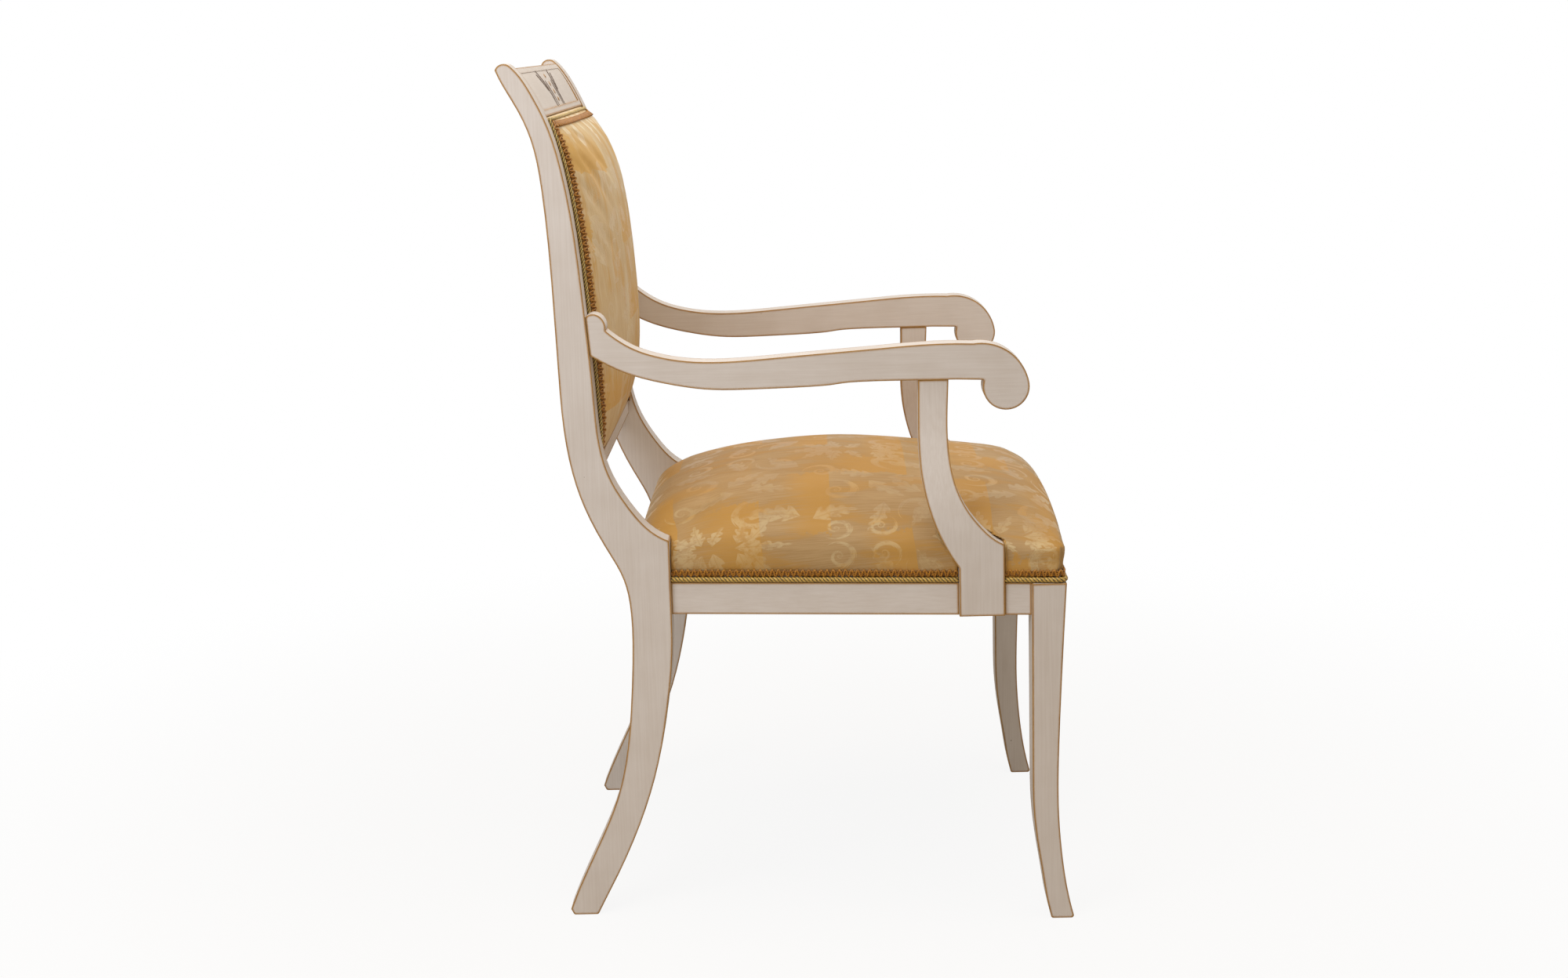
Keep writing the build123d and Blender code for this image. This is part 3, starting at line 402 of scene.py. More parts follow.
def curlGroup():
    # One curl: a spiral band with a scalloped edge that winds in on its own centre
    group, given, moved, result, add = maskGroup("wovenScroll", curlValues)
    far = add("VectorMath LENGTH", moved)
    parts = add("SeparateXYZ", moved).outputs
    handed = add("Math MULTIPLY", parts[1], given["Hand"])
    bearing = add("Math ARCTAN2", handed, parts[0])
    start = add("Math MULTIPLY_ADD", given["Angle"], -math.pi / 180, bearing)
    share = add("Math DIVIDE", far, given["Size"])
    logged = add("Math LOGARITHM", share, math.e)
    wound = add("Math MULTIPLY_ADD", logged, 4.2, start)
    near = add("Math PINGPONG", add("Math DIVIDE", wound, 2 * math.pi), 0.5)
    edge = add("Math PINGPONG", add("Math MULTIPLY", logged, 9.0), 0.5)
    wide = add("MapRange", edge, 0.0, 0.5, 0.12, 0.23)
    gap = add("Math SUBTRACT", wide, near)
    band = add("MapRange SMOOTHSTEP", gap, 0.0, 0.05)
    inside = add("MapRange SMOOTHSTEP", share, 1.0, 0.94)
    setSockets(result, {"Mask": add("Math MULTIPLY", band, inside)})
    return group


figures = ((leafGroup(), leafValues, sprays), (curlGroup(), curlValues, curls))


def wovenDamask(name, tint):
    material, shader, add = newMaterial(name)
    place = add("VectorMath MULTIPLY", add("UVMap", uv_map="cloth"), (metre, metre, 0))
    axes = add("SeparateXYZ", place).outputs
    # The repeat: columns drop by half, each mirrored about its middle
    scaled = add("VectorMath SCALE", {0: place, "Scale": 1 / damask["enlarge"]})
    drawnAxes = add("SeparateXYZ", scaled).outputs
    width, height = damask["tile"]
    column = add("Math FLOOR", add("Math DIVIDE", drawnAxes[0], width))
    drop = add("Math MULTIPLY_ADD", column, height / 2, drawnAxes[1])
    across = add("Math WRAP", drawnAxes[0], width, 0.0)
    mirrored = add("Math ABSOLUTE", add("Math SUBTRACT", across, width / 2))
    along = add("Math WRAP", drop, height / 2, -height / 2)
    point = add("CombineXYZ", mirrored, along)
    masks = []
    for group, names, drawings in figures:
        mask = None
        for spot, *values in drawings:
            sockets = {"Point": point, "Place": (*spot, 0), **dict(zip(names, values))}
            one = add("Group", sockets, node_tree=group)
            mask = add("Math MAXIMUM", mask, one) if mask else one
        masks.append(mask)
    leaves, scrolls = masks
    # Twill lines across the satin
    slant = add("Math ADD", axes[0], axes[1])
    ribs = add("Math SINE", add("Math MULTIPLY", slant, 2 * math.pi / damask["twill"]))
    lines = add("MapRange", ribs, -1.0, 1.0, 0.74, 1.0)
    motif = add("Math MULTIPLY", add("Math MAXIMUM", leaves, scrolls), lines)
    # Golden weft: blocks that start hard at one end and run out in dry brush strokes towards the other
    drawn = add("Mapping", {"Vector": place, "Scale": (*(1 / size for size in damask["streak"]), 1)})
    streak = add("TexNoise 2D", {"Vector": drawn, "Scale": 1.0, "Detail": 5.0, "Roughness": 0.7})
    wash = add("Mapping", {"Vector": place, "Scale": (*(1 / size for size in damask["cloud"]), 1)})
    cloud = add("TexNoise 2D", {"Vector": wash, "Scale": 1.0, "Detail": 3.0})
    loose = add("TexNoise 2D", {"Vector": place, "Scale": 1 / damask["fray"], "Detail": 6.0, "Roughness": 0.75})
    astray = add("MapRange", loose, 0.0, 1.0, -damask["stray"], damask["stray"])
    frayed = add("VectorMath ADD", place, add("CombineXYZ", astray))
    blocks = []
    for size, low, full in ((damask["block"], 0.52, 0.56), (damask["band"], 0.6, 0.75)):
        cell = add("VectorMath DIVIDE", frayed, (*size, 1))
        lot = add("TexWhiteNoise 2D", {"Vector": add("VectorMath FLOOR", cell)})
        inCell = add("SeparateXYZ", add("VectorMath FRACTION", cell)).outputs
        fade = add("MapRange SMOOTHSTEP", inCell[1], 1.0, 0.05)
        picked = add("MapRange", lot, low, full)
        blocks.append(add("Math MULTIPLY", picked, fade))
    block = add("Math MAXIMUM", blocks[0], blocks[1])
    figure = add("MapRange", scrolls, 0.0, 1.0, 0.62, 1.0)
    soft = add("MapRange SMOOTHSTEP", cloud, 0.42, 0.64)
    patch = add("Math MAXIMUM", block, add("Math MULTIPLY", soft, figure))
    brushed = add("Math ADD", patch, streak)
    weft = add("MapRange SMOOTHSTEP", brushed, 0.7, 1.5, 0.0, tint["weight"])
    mixed = add("Mix FLOAT", {0: 0.45, 2: streak, 3: cloud})
    base = add("MapRange SMOOTHSTEP", mixed, 0.64, 0.34)
    sand = add("Mix RGBA", {0: base, 6: tint["ground"], 7: tint["pale"]})
    golds = add("Mix RGBA", {0: streak, 6: tint["deep"], 7: tint["gold"]})
    golden = add("Mix RGBA", {0: weft, 6: sand, 7: golds})
    # Painted sheen: the satin shows most where the cloth bends over an edge and its floats lift, a painted
    # highlight, and a little in random patches elsewhere
    normal = add("NewGeometry").outputs["Normal"]
    level = add("VectorMath DOT_PRODUCT", normal, tint["facing"])
    bend = add("MapRange SMOOTHSTEP", level, 0.97, 0.72)
    wall = add("MapRange SMOOTHSTEP", level, -0.05, 0.35, 0.35)
    sheenBend = add("Math MULTIPLY", bend, wall)
    sheen = add("TexNoise 2D", {"Vector": place, "Scale": 1 / damask["sheen"], "Detail": 2.0})
    calm = add("MapRange SMOOTHSTEP", sheen, 0.42, 0.66, 0.03, 0.2)
    # Share of the satin's pale colour given as painted sheen
    paintedSheenShare = add("Math MULTIPLY_ADD", sheenBend, tint["lift"], calm, use_clamp=True)
    worn = add("MapRange SMOOTHSTEP", loose, 0.36, 0.56, 0.15)
    dissolved = add("Math MULTIPLY", motif, worn)
    share = add("Math MULTIPLY", dissolved, paintedSheenShare)
    figured = add("Mix RGBA", {0: share, 6: golden, 7: tint["satin"]})
    # Threads, about three times coarser than the real 0.4 mm so that they show
    waves = []
    for axis in axes[:2]:
        pitch = add("Math MULTIPLY", axis, 2 * math.pi / damask["threads"])
        waves.append(add("Math SINE", pitch))
    weave = add("Math MULTIPLY", waves[0], waves[1])
    raised = add("Math MULTIPLY_ADD", weave, 0.35, motif)
    shade = add("MapRange", weave, -1.0, 1.0, 0.93, 1.05)
    toned = add("VectorMath SCALE", {0: figured, "Scale": shade})
    gloss = add("MapRange", motif, 0.0, 1.0, damask["roughGround"], damask["roughSatin"])
    bump = add("Bump", {"Strength": 0.4, "Distance": 0.00035, "Height": raised})
    setSockets(shader, {
        "Base Color": toned, "Roughness": gloss, "Normal": bump, "Specular IOR Level": 0.35,
        "Sheen Weight": 0.08, "Sheen Roughness": 0.4, "Sheen Tint": damask["sheenTint"],
    })
    return material


# Rayon yarn, spun and gassed smooth: a soft gloss with fine twisted filaments
def rayonYarn(name, light, dark, filament):
    material, shader, add = newMaterial(name)
    place = add("TexCoord").outputs["Object"]
    fibre = add("TexNoise", {"Vector": place, "Scale": metre / filament, "Detail": 3.0, "Roughness": 0.7})
    tone = add("ValToRGB", fibre, stops=((0.38, dark), (0.62, light)))
    bump = add("Bump", {"Strength": 0.5, "Distance": 0.0003, "Height": fibre})
    setSockets(shader, {"Base Color": tone, "Normal": bump, "Roughness": 0.42, "Sheen Weight": 0.04})
    return material


# The seat's damask is the shaded copy and the back's the lit copy: painted shade and painted light
seatDamaskShaded = wovenDamask("wovenDamaskSeatShaded", damask["seat"])
backDamaskLit = wovenDamask("wovenDamaskBackLit", damask["back"])
cordGold = rayonYarn("rayonCordGold", "#DDB85A", "#A67F2E", 1.6)
cordStraw = rayonYarn("rayonCordStraw", "#E2C878", "#B08E42", 1.6)
# Dark yarn in the cord valleys: partly olive yarn, partly painted shade of the valleys
cordOliveValleyShade = rayonYarn("rayonCordOliveValleyShade", "#5F4A1E", "#3A2B0E", 1.6)
gimpGold = rayonYarn("rayonGimpGold", "#C5861A", "#75450A", 1.4)
gimpTape = rayonYarn("rayonGimpTape", "#54300A", "#2E1B04", 1.2)
print("cloth and yarn made")


# Upholstery foam, cut from a block: pale cream with open pores
def cutFoam(name, pore=2.2):
    material, shader, add = newMaterial(name)
    place = add("TexCoord").outputs["Object"]
    pores = add("TexVoronoi", {"Vector": place, "Scale": metre / pore})
    tone = add("ValToRGB", pores, stops=((0.0, "#CDBB88"), (0.5, "#EADFB9")))
    bump = add("Bump", {"Strength": 0.4, "Distance": 0.0006, "Height": pores})
    setSockets(shader, {"Base Color": tone, "Normal": bump, "Roughness": 0.95})
    return material


# Zinc-plated steel screws, turned and rolled: pale grey with fine lathe marks
def platedSteel(name, mark=0.8):
    material, shader, add = newMaterial(name)
    place = add("TexCoord").outputs["Object"]
    marks = add("TexNoise", {"Vector": place, "Scale": metre / mark, "Detail": 4.0})
    tone = add("Mix RGBA", {0: marks, 6: "#9E9C94", 7: "#C7C4BA"})
    rough = add("MapRange", marks, 0.0, 1.0, 0.28, 0.48)
    setSockets(shader, {"Base Color": tone, "Roughness": rough, "Metallic": 1.0})
    return material


foamFinish = cutFoam("cutFoam")
finishNodes(platedSteel("zincPlatedSteel"), "arm_post_screws", "corner_block_screws")

# Lines of the frame that the cloth follows, in millimetres as (height, depth), the last as (height, half width)
postFront = [
    (360, 142), (448, 142), (462, 164.5), (486, 184.6), (527, 207.6), (568.5, 217.2), (620, 220.6), (704.5, 226.3),
    (797.5, 234.4), (867.4, 245.1), (919.7, 259.5), (952.2, 274.6), (973, 287.5), (983, 297),
]
armPostRear = [(398, -185), (417, -185), (454.5, -163.6), (492, -150.4), (528, -144), (575, -142.3), (627, -143)]
armPostFront = [
    (398, -236), (443, -236), (449.5, -224.5), (464.7, -208.7), (483, -195), (507.8, -183.4), (543.7, -176.2),
    (627, -177),
]
armPostInner = [
    (398, 243.9), (443, 243.9), (470, 241.6), (500, 235.5), (535, 227), (570, 219), (600, 214), (627, 213),
]
# Places on it: the back posts' front and inner faces, the arm posts' depths at the rail, the rails' outer lines
# front and rear, the half width at the back posts, its growth over a run, that slant, and the gap kept to the posts
joinery = {
    "postFace": 142, "postInner": 205, "armPostRear": -185, "armPostFront": -236,
    "railFront": -305, "railRear": 185, "half": 229, "growth": 40, "run": 408, "slant": 0.098, "clear": 1.0,
}


def seatHalf(y):
    return joinery["half"] + (joinery["postFace"] - y) * joinery["growth"] / joinery["run"]


# How the cushions are blown up: pressure inside, solver steps, bending stiffness and time steps
blowing = {"pressure": 4.0, "quality": 5, "stiffness": 2.0, "steps": 20}


def inflate(piece, held, cap, voxel):
    # Remesh, blow up as cloth that is held where it is tacked, and keep each point within the cap of its start
    shape = piece.modifiers.new("even", "REMESH")
    shape.mode = "VOXEL"
    shape.voxel_size = voxel * mm
    bpy.context.view_layer.objects.active = piece
    piece.select_set(True)
    bpy.ops.object.modifier_apply(modifier="even")
    start = [v.co.copy() for v in piece.data.vertices]
    tacks = piece.vertex_groups.new(name="tacked")
    tacks.add([i for i, co in enumerate(start) if held(co)], 1.0, "REPLACE")
    cloth = piece.modifiers.new("cloth", "CLOTH")
    cloth.settings.vertex_group_mass = "tacked"
    cloth.settings.use_pressure = True
    cloth.settings.uniform_pressure_force = blowing["pressure"]
    cloth.settings.effector_weights.gravity = 0.0
    cloth.settings.quality = blowing["quality"]
    cloth.settings.bending_stiffness = blowing["stiffness"]
    for step in range(blowing["steps"]):
        scene.frame_set(step + 1)
    grown = piece.evaluated_get(bpy.context.evaluated_depsgraph_get()).to_mesh()
    ends = [v.co.copy() for v in grown.vertices]
    piece.modifiers.remove(cloth)
    for vertex, first, last in zip(piece.data.vertices, start, ends):
        step = last - first
        vertex.co = first + step * min(1.0, cap * mm / max(step.length, 1e-9))
    scene.frame_set(1)
    finer = piece.modifiers.new("finer", "SUBSURF")
    finer.levels = 1
    bpy.ops.object.modifier_apply(modifier="finer")
    piece.data.update()
    piece.data.shade_smooth()


def layCloth(piece, spread):
    # Cloth coordinates in metres, laid over the piece after it has its shape
    layer = piece.data.uv_layers.new(name="cloth")
    spots = [spread(v.co, v.normal) for v in piece.data.vertices]
    for loop in piece.data.loops:
        layer.data[loop.index].uv = spots[loop.vertex_index]


# Seat: an upright edge, then a dome that falls away to its corners, lowest at the rear ones beside the posts.
# Edge gives the rows of the skirt, as share of its height and step in; dome gives shares of the way to the middle.
seat = {
    "front": -305.5, "rear": 184.5, "skirt": 402, "shoulder": 441, "rise": 70, "rearDrop": 16,
    "frontBulge": (1.5, 8.0), "frontEdge": 8, "frontFall": 0.25, "corner": 13, "planStep": 12,
    "shrink": 1.6, "cap": 3.0, "voxel": 6, "tacked": 416, "fullness": (3.4, 2.1),
    "drape": 30, "patternAt": (0.62, 0.41),
    "edge": ((0.0, 3.6), (0.25, 3.2), (0.5, 0.2), (0.8, -1.8), (1.0, -0.9)),
    "dome": (0.012, 0.03, 0.055, 0.09, 0.13, 0.18, 0.24, 0.31, 0.39, 0.48, 0.58, 0.69, 0.81, 0.93),
    "pleat": {"angle": 62, "depth": 2.2, "width": 2.4, "top": 460, "fade": (452, 430)},
    "foam": {"inset": 9.0, "low": 421.0, "narrower": 0.99},
}


def shareOut(x, y):
    # 0 on the seat's centre line, 1 at its side
    return min(abs(x) / seatHalf(y), 1.0)


def seatShoulder(x, y):
    outer = smoothStep(0.6, 1.0, abs(x) / seatHalf(y)) * smoothStep(90, 185, y)
    middle = 1 - 1.2 * shareOut(x, y) ** 2
    return seat["shoulder"] - seat["rearDrop"] * outer + seat["frontEdge"] * middle * smoothStep(-150, -290, y)


def seatHeight(x, y):
    halfDeep = (seat["rear"] - seat["front"]) / 2
    along = min(abs(y - (seat["front"] + seat["rear"]) / 2) / halfDeep, 1.0)
    fullness = mix(*seat["fullness"], smoothStep(-200, 20, y))
    rise = seat["rise"] * (1 - seat["frontFall"] * smoothStep(-40, -260, y))
    return seatShoulder(x, y) + rise * math.sqrt((1 - shareOut(x, y) ** 2) * (1 - along ** fullness))


def seatPlan():
    # Points round the seat's edge, with rounded corners
    ring, bend = [], seat["corner"]
    front, rear = seat["front"], seat["rear"]
    for side, y, first in ((1, front, -90), (1, rear, 0), (-1, rear, 90), (-1, front, 180)):
        middle = Vector((side * (seatHalf(y) - bend), y - bend if y > 0 else y + bend))
        for turn in range(first, first + 91, 15):
            ring.append(middle + bend * turned(math.radians(turn), Vector((1, 0)), Vector((0, 1))))
    plan = []
    for a, b in zip(ring, ring[1:] + ring[:1]):
        steps = max(1, round((b - a).length / seat["planStep"]))
        plan += [a.lerp(b, k / steps) for k in range(steps)]
    return plan


def seatSkin(inset, low):
    # Skirt, upright edge and dome, smaller by inset, closed underneath
    plan = seatPlan()
    centre = Vector((0.0, (seat["front"] + seat["rear"]) / 2))
    bows = [mix(*seat["frontBulge"], 1 - shareOut(p.x, p.y) ** 2) * smoothStep(-230, -300, p.y) for p in plan]
    rows = []
    for share, step in seat["edge"]:
        row = []
        for p, bow in zip(plan, bows):
            q = p - (p - centre).normalized() * (step + inset * share)
            row.append((q - Vector((0, bow * share)), mix(low, seatShoulder(p.x, p.y) - inset * share, share)))
        rows.append(row)
    for way in seat["dome"]:
        row = []
        for p, bow in zip(plan, bows):
            q = p.lerp(centre, way)
            out = q - (q - centre).normalized() * inset * (1 - way)
            row.append((out - Vector((0, bow * max(0.0, 1 - 2 * way))), seatHeight(q.x, q.y) - inset))
        rows.append(row)
    points = [(q.x * mm, q.y * mm, z * mm) for row in rows for q, z in row]
    foot, top = range(len(plan)), range(len(points) - len(plan), len(points))
    return points, ringFaces(0, len(rows), len(plan)) + [tuple(reversed(foot)), tuple(top)]


def clearOfFrame(co):
    # Keep the seat cloth out of the arm posts and the back posts, a millimetre off them
    x, y, z = abs(co.x) / mm, co.y / mm, co.z / mm
    side = 1 if co.x > 0 else -1
    clear = joinery["clear"]
    inner = alongLine(armPostInner, z) - clear
    if alongLine(armPostFront, z) - clear < y < alongLine(armPostRear, z) + clear and x > inner:
        co.x = side * inner * mm
    face, inner = alongLine(postFront, z) - clear, joinery["postInner"] - clear
    if y > face and x > inner:
        if y - face < x - inner:
            co.y = face * mm
        else:
            co.x = side * inner * mm


def tuckCorner(co):
    # The cloth at each front corner is pulled in along one short pleat
    pleat = seat["pleat"]
    side = 1 if co.x > 0 else -1
    middle = Vector((side * (seatHalf(seat["front"]) - seat["corner"]), seat["front"] + seat["corner"])) * mm
    out = Vector((co.x, co.y)) - middle
    if out.x * side < 0 or out.y > 0 or co.z / mm > pleat["top"]:
        return
    turn = math.atan2(-out.y, out.x * side) - math.radians(pleat["angle"])
    crease = math.exp(-(turn * out.length / (pleat["width"] * mm)) ** 2)
    depth = pleat["depth"] * mm * crease * smoothStep(*pleat["fade"], co.z / mm)
    co.x -= out.x / max(out.length, mm) * depth
    co.y -= out.y / max(out.length, mm) * depth


def seatSpread(co, normal):
    fall = max(0.0, (seat["shoulder"] + seat["drape"]) * mm - co.z)
    acrossAt, alongAt = seat["patternAt"]
    return (co.x + normal.x * fall + acrossAt, co.y + normal.y * fall + alongAt)


points, faces = seatSkin(seat["shrink"], seat["skirt"])
seatCloth = meshPiece("seatCloth", points, faces, seatDamaskShaded)
inflate(seatCloth, lambda co: co.z / mm < seat["tacked"], seat["cap"], seat["voxel"])
for vertex in seatCloth.data.vertices:
    clearOfFrame(vertex.co)
    tuckCorner(vertex.co)
seatCloth.data.update()
layCloth(seatCloth, seatSpread)
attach(seatCloth, "root")
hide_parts("seat_cover")

# Its foam, cut to the same shape, on the hessian
points, faces = seatSkin(seat["foam"]["inset"], seat["foam"]["low"])
seatFoam = meshPiece("seatFoam", points, faces, foamFinish)
for vertex in seatFoam.data.vertices:
    vertex.co.x *= seat["foam"]["narrower"]
    clearOfFrame(vertex.co)
    vertex.co.x *= seat["foam"]["narrower"]
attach(seatFoam, "root")
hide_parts("seat_foam")
print("seat cushion made:", len(seatCloth.data.vertices), "points")

# Back pad: edge is the line of the posts as (height, depth). Side, top and foot give how full it is against the
# distance in from each edge. Tacked gives where the cloth is held: beyond a half width, a top and a foot.
pad = {
    "half": 204.6, "low": 541.4, "high": 925.6, "crown": 37.0, "shrink": 2.0, "cap": 4.0, "voxel": 5, "cells": 56,
    "rear": 4, "slopeStep": 1.5, "sinkOver": (4, 24), "tacked": (194, 915, 552),
    "drape": 0.02, "patternAt": (0.19, 0.33),
    "side": [
        (0, 0.0), (4, 0.05), (8, 0.15), (12, 0.26), (18, 0.39), (28, 0.54), (40, 0.66), (60, 0.79), (90, 0.89),
        (140, 0.97), (205, 1.0)],
    "top": [(0, 0.04), (4, 0.14), (8, 0.32), (12, 0.48), (18, 0.66), (28, 0.84), (40, 0.95), (60, 1.0)],
    "foot": [(0, 0.02), (8, 0.1), (18, 0.27), (33, 0.48), (47, 0.63), (75, 0.82), (110, 0.94), (160, 1.0)],
    "edge": [(523, 218), (568.5, 218)] + postFront[6:12],
    "foam": {"sink": 8, "rear": 8, "margin": 3, "deeper": 4},
}


def padDepth(x, z):
    full = alongLine(pad["side"], pad["half"] - abs(x)) * alongLine(pad["top"], pad["high"] - z)
    return alongLine(pad["edge"], z) - pad["crown"] * full * alongLine(pad["foot"], z - pad["low"])


def padSpots(low, high):
    # Spots that crowd towards both ends
    count = pad["cells"]
    return [mix(low, high, 0.5 - 0.5 * math.cos(math.pi * k / count)) for k in range(count + 1)]


def padSkin(sink, behind, margin, deeper=0):
    # Closed pad: its crowned front sunk by a step away from the edges, its rear behind the edge line
    columns = padSpots(margin - pad["half"], pad["half"] - margin)
    levels = padSpots(pad["low"] + margin, pad["high"] - margin)
    points = []
    for z in levels:
        for x in columns:
            away = min(pad["half"] - abs(x), z - pad["low"], pad["high"] - z)
            depth = padDepth(x, z) + sink * smoothStep(*pad["sinkOver"], away)
            points.append((x * mm, depth * mm + deeper * mm, z * mm))
    for z in levels:
        points += [(x * mm, (alongLine(pad["edge"], z) + behind) * mm, z * mm) for x in columns]
    return points, gridFaces(len(levels), len(columns))


def padTacked(co):
    x, y, z = abs(co.x) / mm, co.y / mm, co.z / mm
    half, top, foot = pad["tacked"]
    return x > half or z > top or z < foot or y > alongLine(pad["edge"], z) - 1


def padSpread(co, normal):
    acrossAt, upAt = pad["patternAt"]
    return (co.x + normal.x * pad["drape"] + acrossAt, co.z + normal.z * pad["drape"] + upAt)


points, faces = padSkin(pad["shrink"], pad["rear"], 0)
backCloth = meshPiece("backCloth", points, faces, backDamaskLit)
inflate(backCloth, padTacked, pad["cap"], pad["voxel"])
layCloth(backCloth, padSpread)
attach(backCloth, "root")
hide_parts("back_front_cover")

points, faces = padSkin(*pad["foam"].values())
backFoam = meshPiece("backFoam", points, faces, foamFinish)
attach(backFoam, "root")
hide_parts("back_foam")
print("back pad made:", len(backCloth.data.vertices), "points")


# Trims: each follows a route of points with the direction that faces away from the cloth

# Strands of a cord and the dark yarn in the valley beside each, its olive partly painted shade: turn, offset and
# radius as shares of its diameter.
# Gimp yarns: turn, swing as a share of the width, lift, radius. Tape under and over: shift, lift, radius, material.
# Places on the seat: inset, height, clearance of the posts; on the back: inset from the edge, lift.
trim = {
    "cord": 6.2, "backCord": 4.4, "pitch": 13.0, "gimp": 7.6, "loop": 7.0, "corner": 9.0, "strands": 3,
    "twist": ((0.0, 0.26, 0.255), (0.5, 0.32, 0.15)),
    "yarns": ((0.0, 0.5, 1.1, 1.2), (0.5, 0.34, 0.8, 0.55)),
    "tape": ((-0.26, 0.1, 1.05, 1), (0.0, 0.9, 0.6, 0), (0.26, 0.1, 1.05, 1)),
    "seatCordAt": (0.5, 401.5, 0.8), "seatGimpAt": (2.6, 408.8, 1.2),
    "backCordAt": (2.6, 0.7), "backGimpAt": (8.6, 0.2), "rearGimpAt": (4.6, 0.1),
}


def evenRoute(route, step, closed=False):
    # Even spots along a route: centre, direction away from the cloth, direction across, distance along
    ends = route + route[:1] if closed else route
    lengths = [0.0]
    for a, b in zip(ends, ends[1:]):
        lengths.append(lengths[-1] + (b[0] - a[0]).length)
    count = max(2, round(lengths[-1] / step))
    spots, k = [], 0
    for i in range(count + (0 if closed else 1)):
        s = lengths[-1] * i / count
        while k < len(ends) - 2 and lengths[k + 1] < s:
            k += 1
        t = (s - lengths[k]) / max(lengths[k + 1] - lengths[k], 1e-9)
        spots.append((ends[k][0].lerp(ends[k + 1][0], t), ends[k][1].lerp(ends[k + 1][1], t).normalized(), s))
    along = tangents([spot[0] for spot in spots], closed)
    return [(centre, out, t.cross(out).normalized(), s) for (centre, out, s), t in zip(spots, along)]


def tubes(name, lines, materials, sides=6, closed=False):
    # One piece of several tubes, each a list of (centre, radius), with its own material
    points, faces, layers = [], [], []
    for line, layer in lines:
        first = len(points)
        count = len(line)
        along = tangents([spot[0] for spot in line], closed)
        aside = along[0].orthogonal()
        for (centre, radius), tangent in zip(line, along):
            aside = (aside - tangent * aside.dot(tangent)).normalized()
            up = tangent.cross(aside)
            points += [centre + radius * turned(2 * math.pi * k / sides, aside, up) for k in range(sides)]
        walls = ringFaces(first, count, sides, closed)
        if not closed:
            walls.append(tuple(reversed(range(first, first + sides))))
            walls.append(tuple(range(len(points) - sides, len(points))))
        faces += walls
        layers += [layer] * len(walls)
    return meshPiece(name, points, faces, materials, layers=layers)


def twistedCord(name, routes, diameter, materials):
    lines = []
    for route in routes:
        spots = evenRoute(route, trim["pitch"] / 8 * mm)
        for k in range(trim["strands"]):
            for layer, (turn, offset, radius) in enumerate(trim["twist"]):
                line = []
                for centre, out, side, s in spots:
                    angle = 2 * math.pi * (s / (trim["pitch"] * mm) + (k + turn) / trim["strands"])
                    line.append((centre + diameter * offset * mm * turned(angle, out, side), diameter * radius * mm))
                lines.append((line, layer))
    return tubes(name, lines, materials)


def gimpBraid(name, routes, closed=False):
    # One looped yarn over a dark woven tape, with a finer yarn back across it
    lines, width, loop = [], trim["gimp"], trim["loop"]
    for route in routes:
        spots = evenRoute(route, loop / 10 * mm, closed)
        total = spots[-1][3]
        waves = max(1, round(total / (loop * mm)))
        for turn, swing, lift, radius in trim["yarns"]:
            line = []
            for centre, out, side, s in spots:
                angle = 2 * math.pi * (waves * s / total + turn)
                line.append((centre + (width * swing * math.sin(angle) * side + lift * out) * mm, radius * mm))
            lines.append((line, 0))
        for shift, lift, radius, layer in trim["tape"]:
            line = []
            for centre, out, side, s in spots[::4]:
                line.append((centre + (width * shift * side + lift * out) * mm, radius * mm))
            lines.append((line, layer))
    return tubes(name, lines, [gimpGold, gimpTape], 5, closed)


def seatRoutes(inset, z, clear):
    # Four lengths round the seat, between the arm posts and the back posts
    def spot(x, y, dx, dy):
        return (Vector((x, y, z)) * mm, Vector((dx, dy, 0)))

    def sideSpot(side, y):
        return spot(side * (seatHalf(y) - inset), y, side, joinery["slant"])

    routes = []
    for side in (-1, 1):
        routes.append([sideSpot(side, y) for y in (joinery["postFace"] - clear, joinery["armPostRear"] + clear)])
    reach = joinery["postInner"] - clear
    routes.append([spot(x, joinery["railRear"] - inset, 0, 1) for x in (-reach, reach)])
    front, radius = joinery["railFront"] + inset, trim["corner"] - inset
    start = joinery["armPostFront"] - clear
    bend = [sideSpot(-1, start)]
    for side, first in ((-1, 180), (1, 270)):
        for turn in range(first, first + 91, 10):
            dx, dy = math.cos(math.radians(turn)), math.sin(math.radians(turn))
            x = side * (seatHalf(front) - inset - radius) + radius * dx
            bend.append(spot(x, front + radius + radius * dy, dx, dy))
    return routes + [bend + [sideSpot(1, start)]]


def cornerWalk(half, low, top, closed=False, steps=40):
    # Places up one side, over the top and down the other, and back along the foot where it is closed
    corners = [(-half, low), (-half, top), (half, top), (half, low)]
    places = []
    for (x0, z0), (x1, z1) in zip(corners, corners[1:] + corners[:1] if closed else corners[1:]):
        places += [(mix(x0, x1, k / steps), mix(z0, z1, k / steps)) for k in range(steps)]
    return places if closed else places + corners[-1:]


def padRoute(inset, lift, forward=False):
    # Round the back pad, lifted off the cloth along its own slope, or straight forward beside the frame
    half, low, top = pad["half"] - inset, pad["low"] + 0.5, pad["high"] - inset
    route = []
    for x, z in cornerWalk(half, low, top):
        spot = Vector((x, padDepth(x, z), z))
        if forward:
            out = Vector((-0.5 * x / half if abs(x) > half - 1 else 0, -1, 0.5 if z > top - 1 else 0)).normalized()
            spot.y -= lift
        else:
            slopeX = slopeOf(lambda v: padDepth(v, z), x, pad["slopeStep"])
            slopeZ = slopeOf(lambda v: padDepth(x, v), z, pad["slopeStep"])
            out = Vector((slopeX, -1, slopeZ)).normalized()
            spot += lift * out
        route.append((spot * mm, out))
    return route


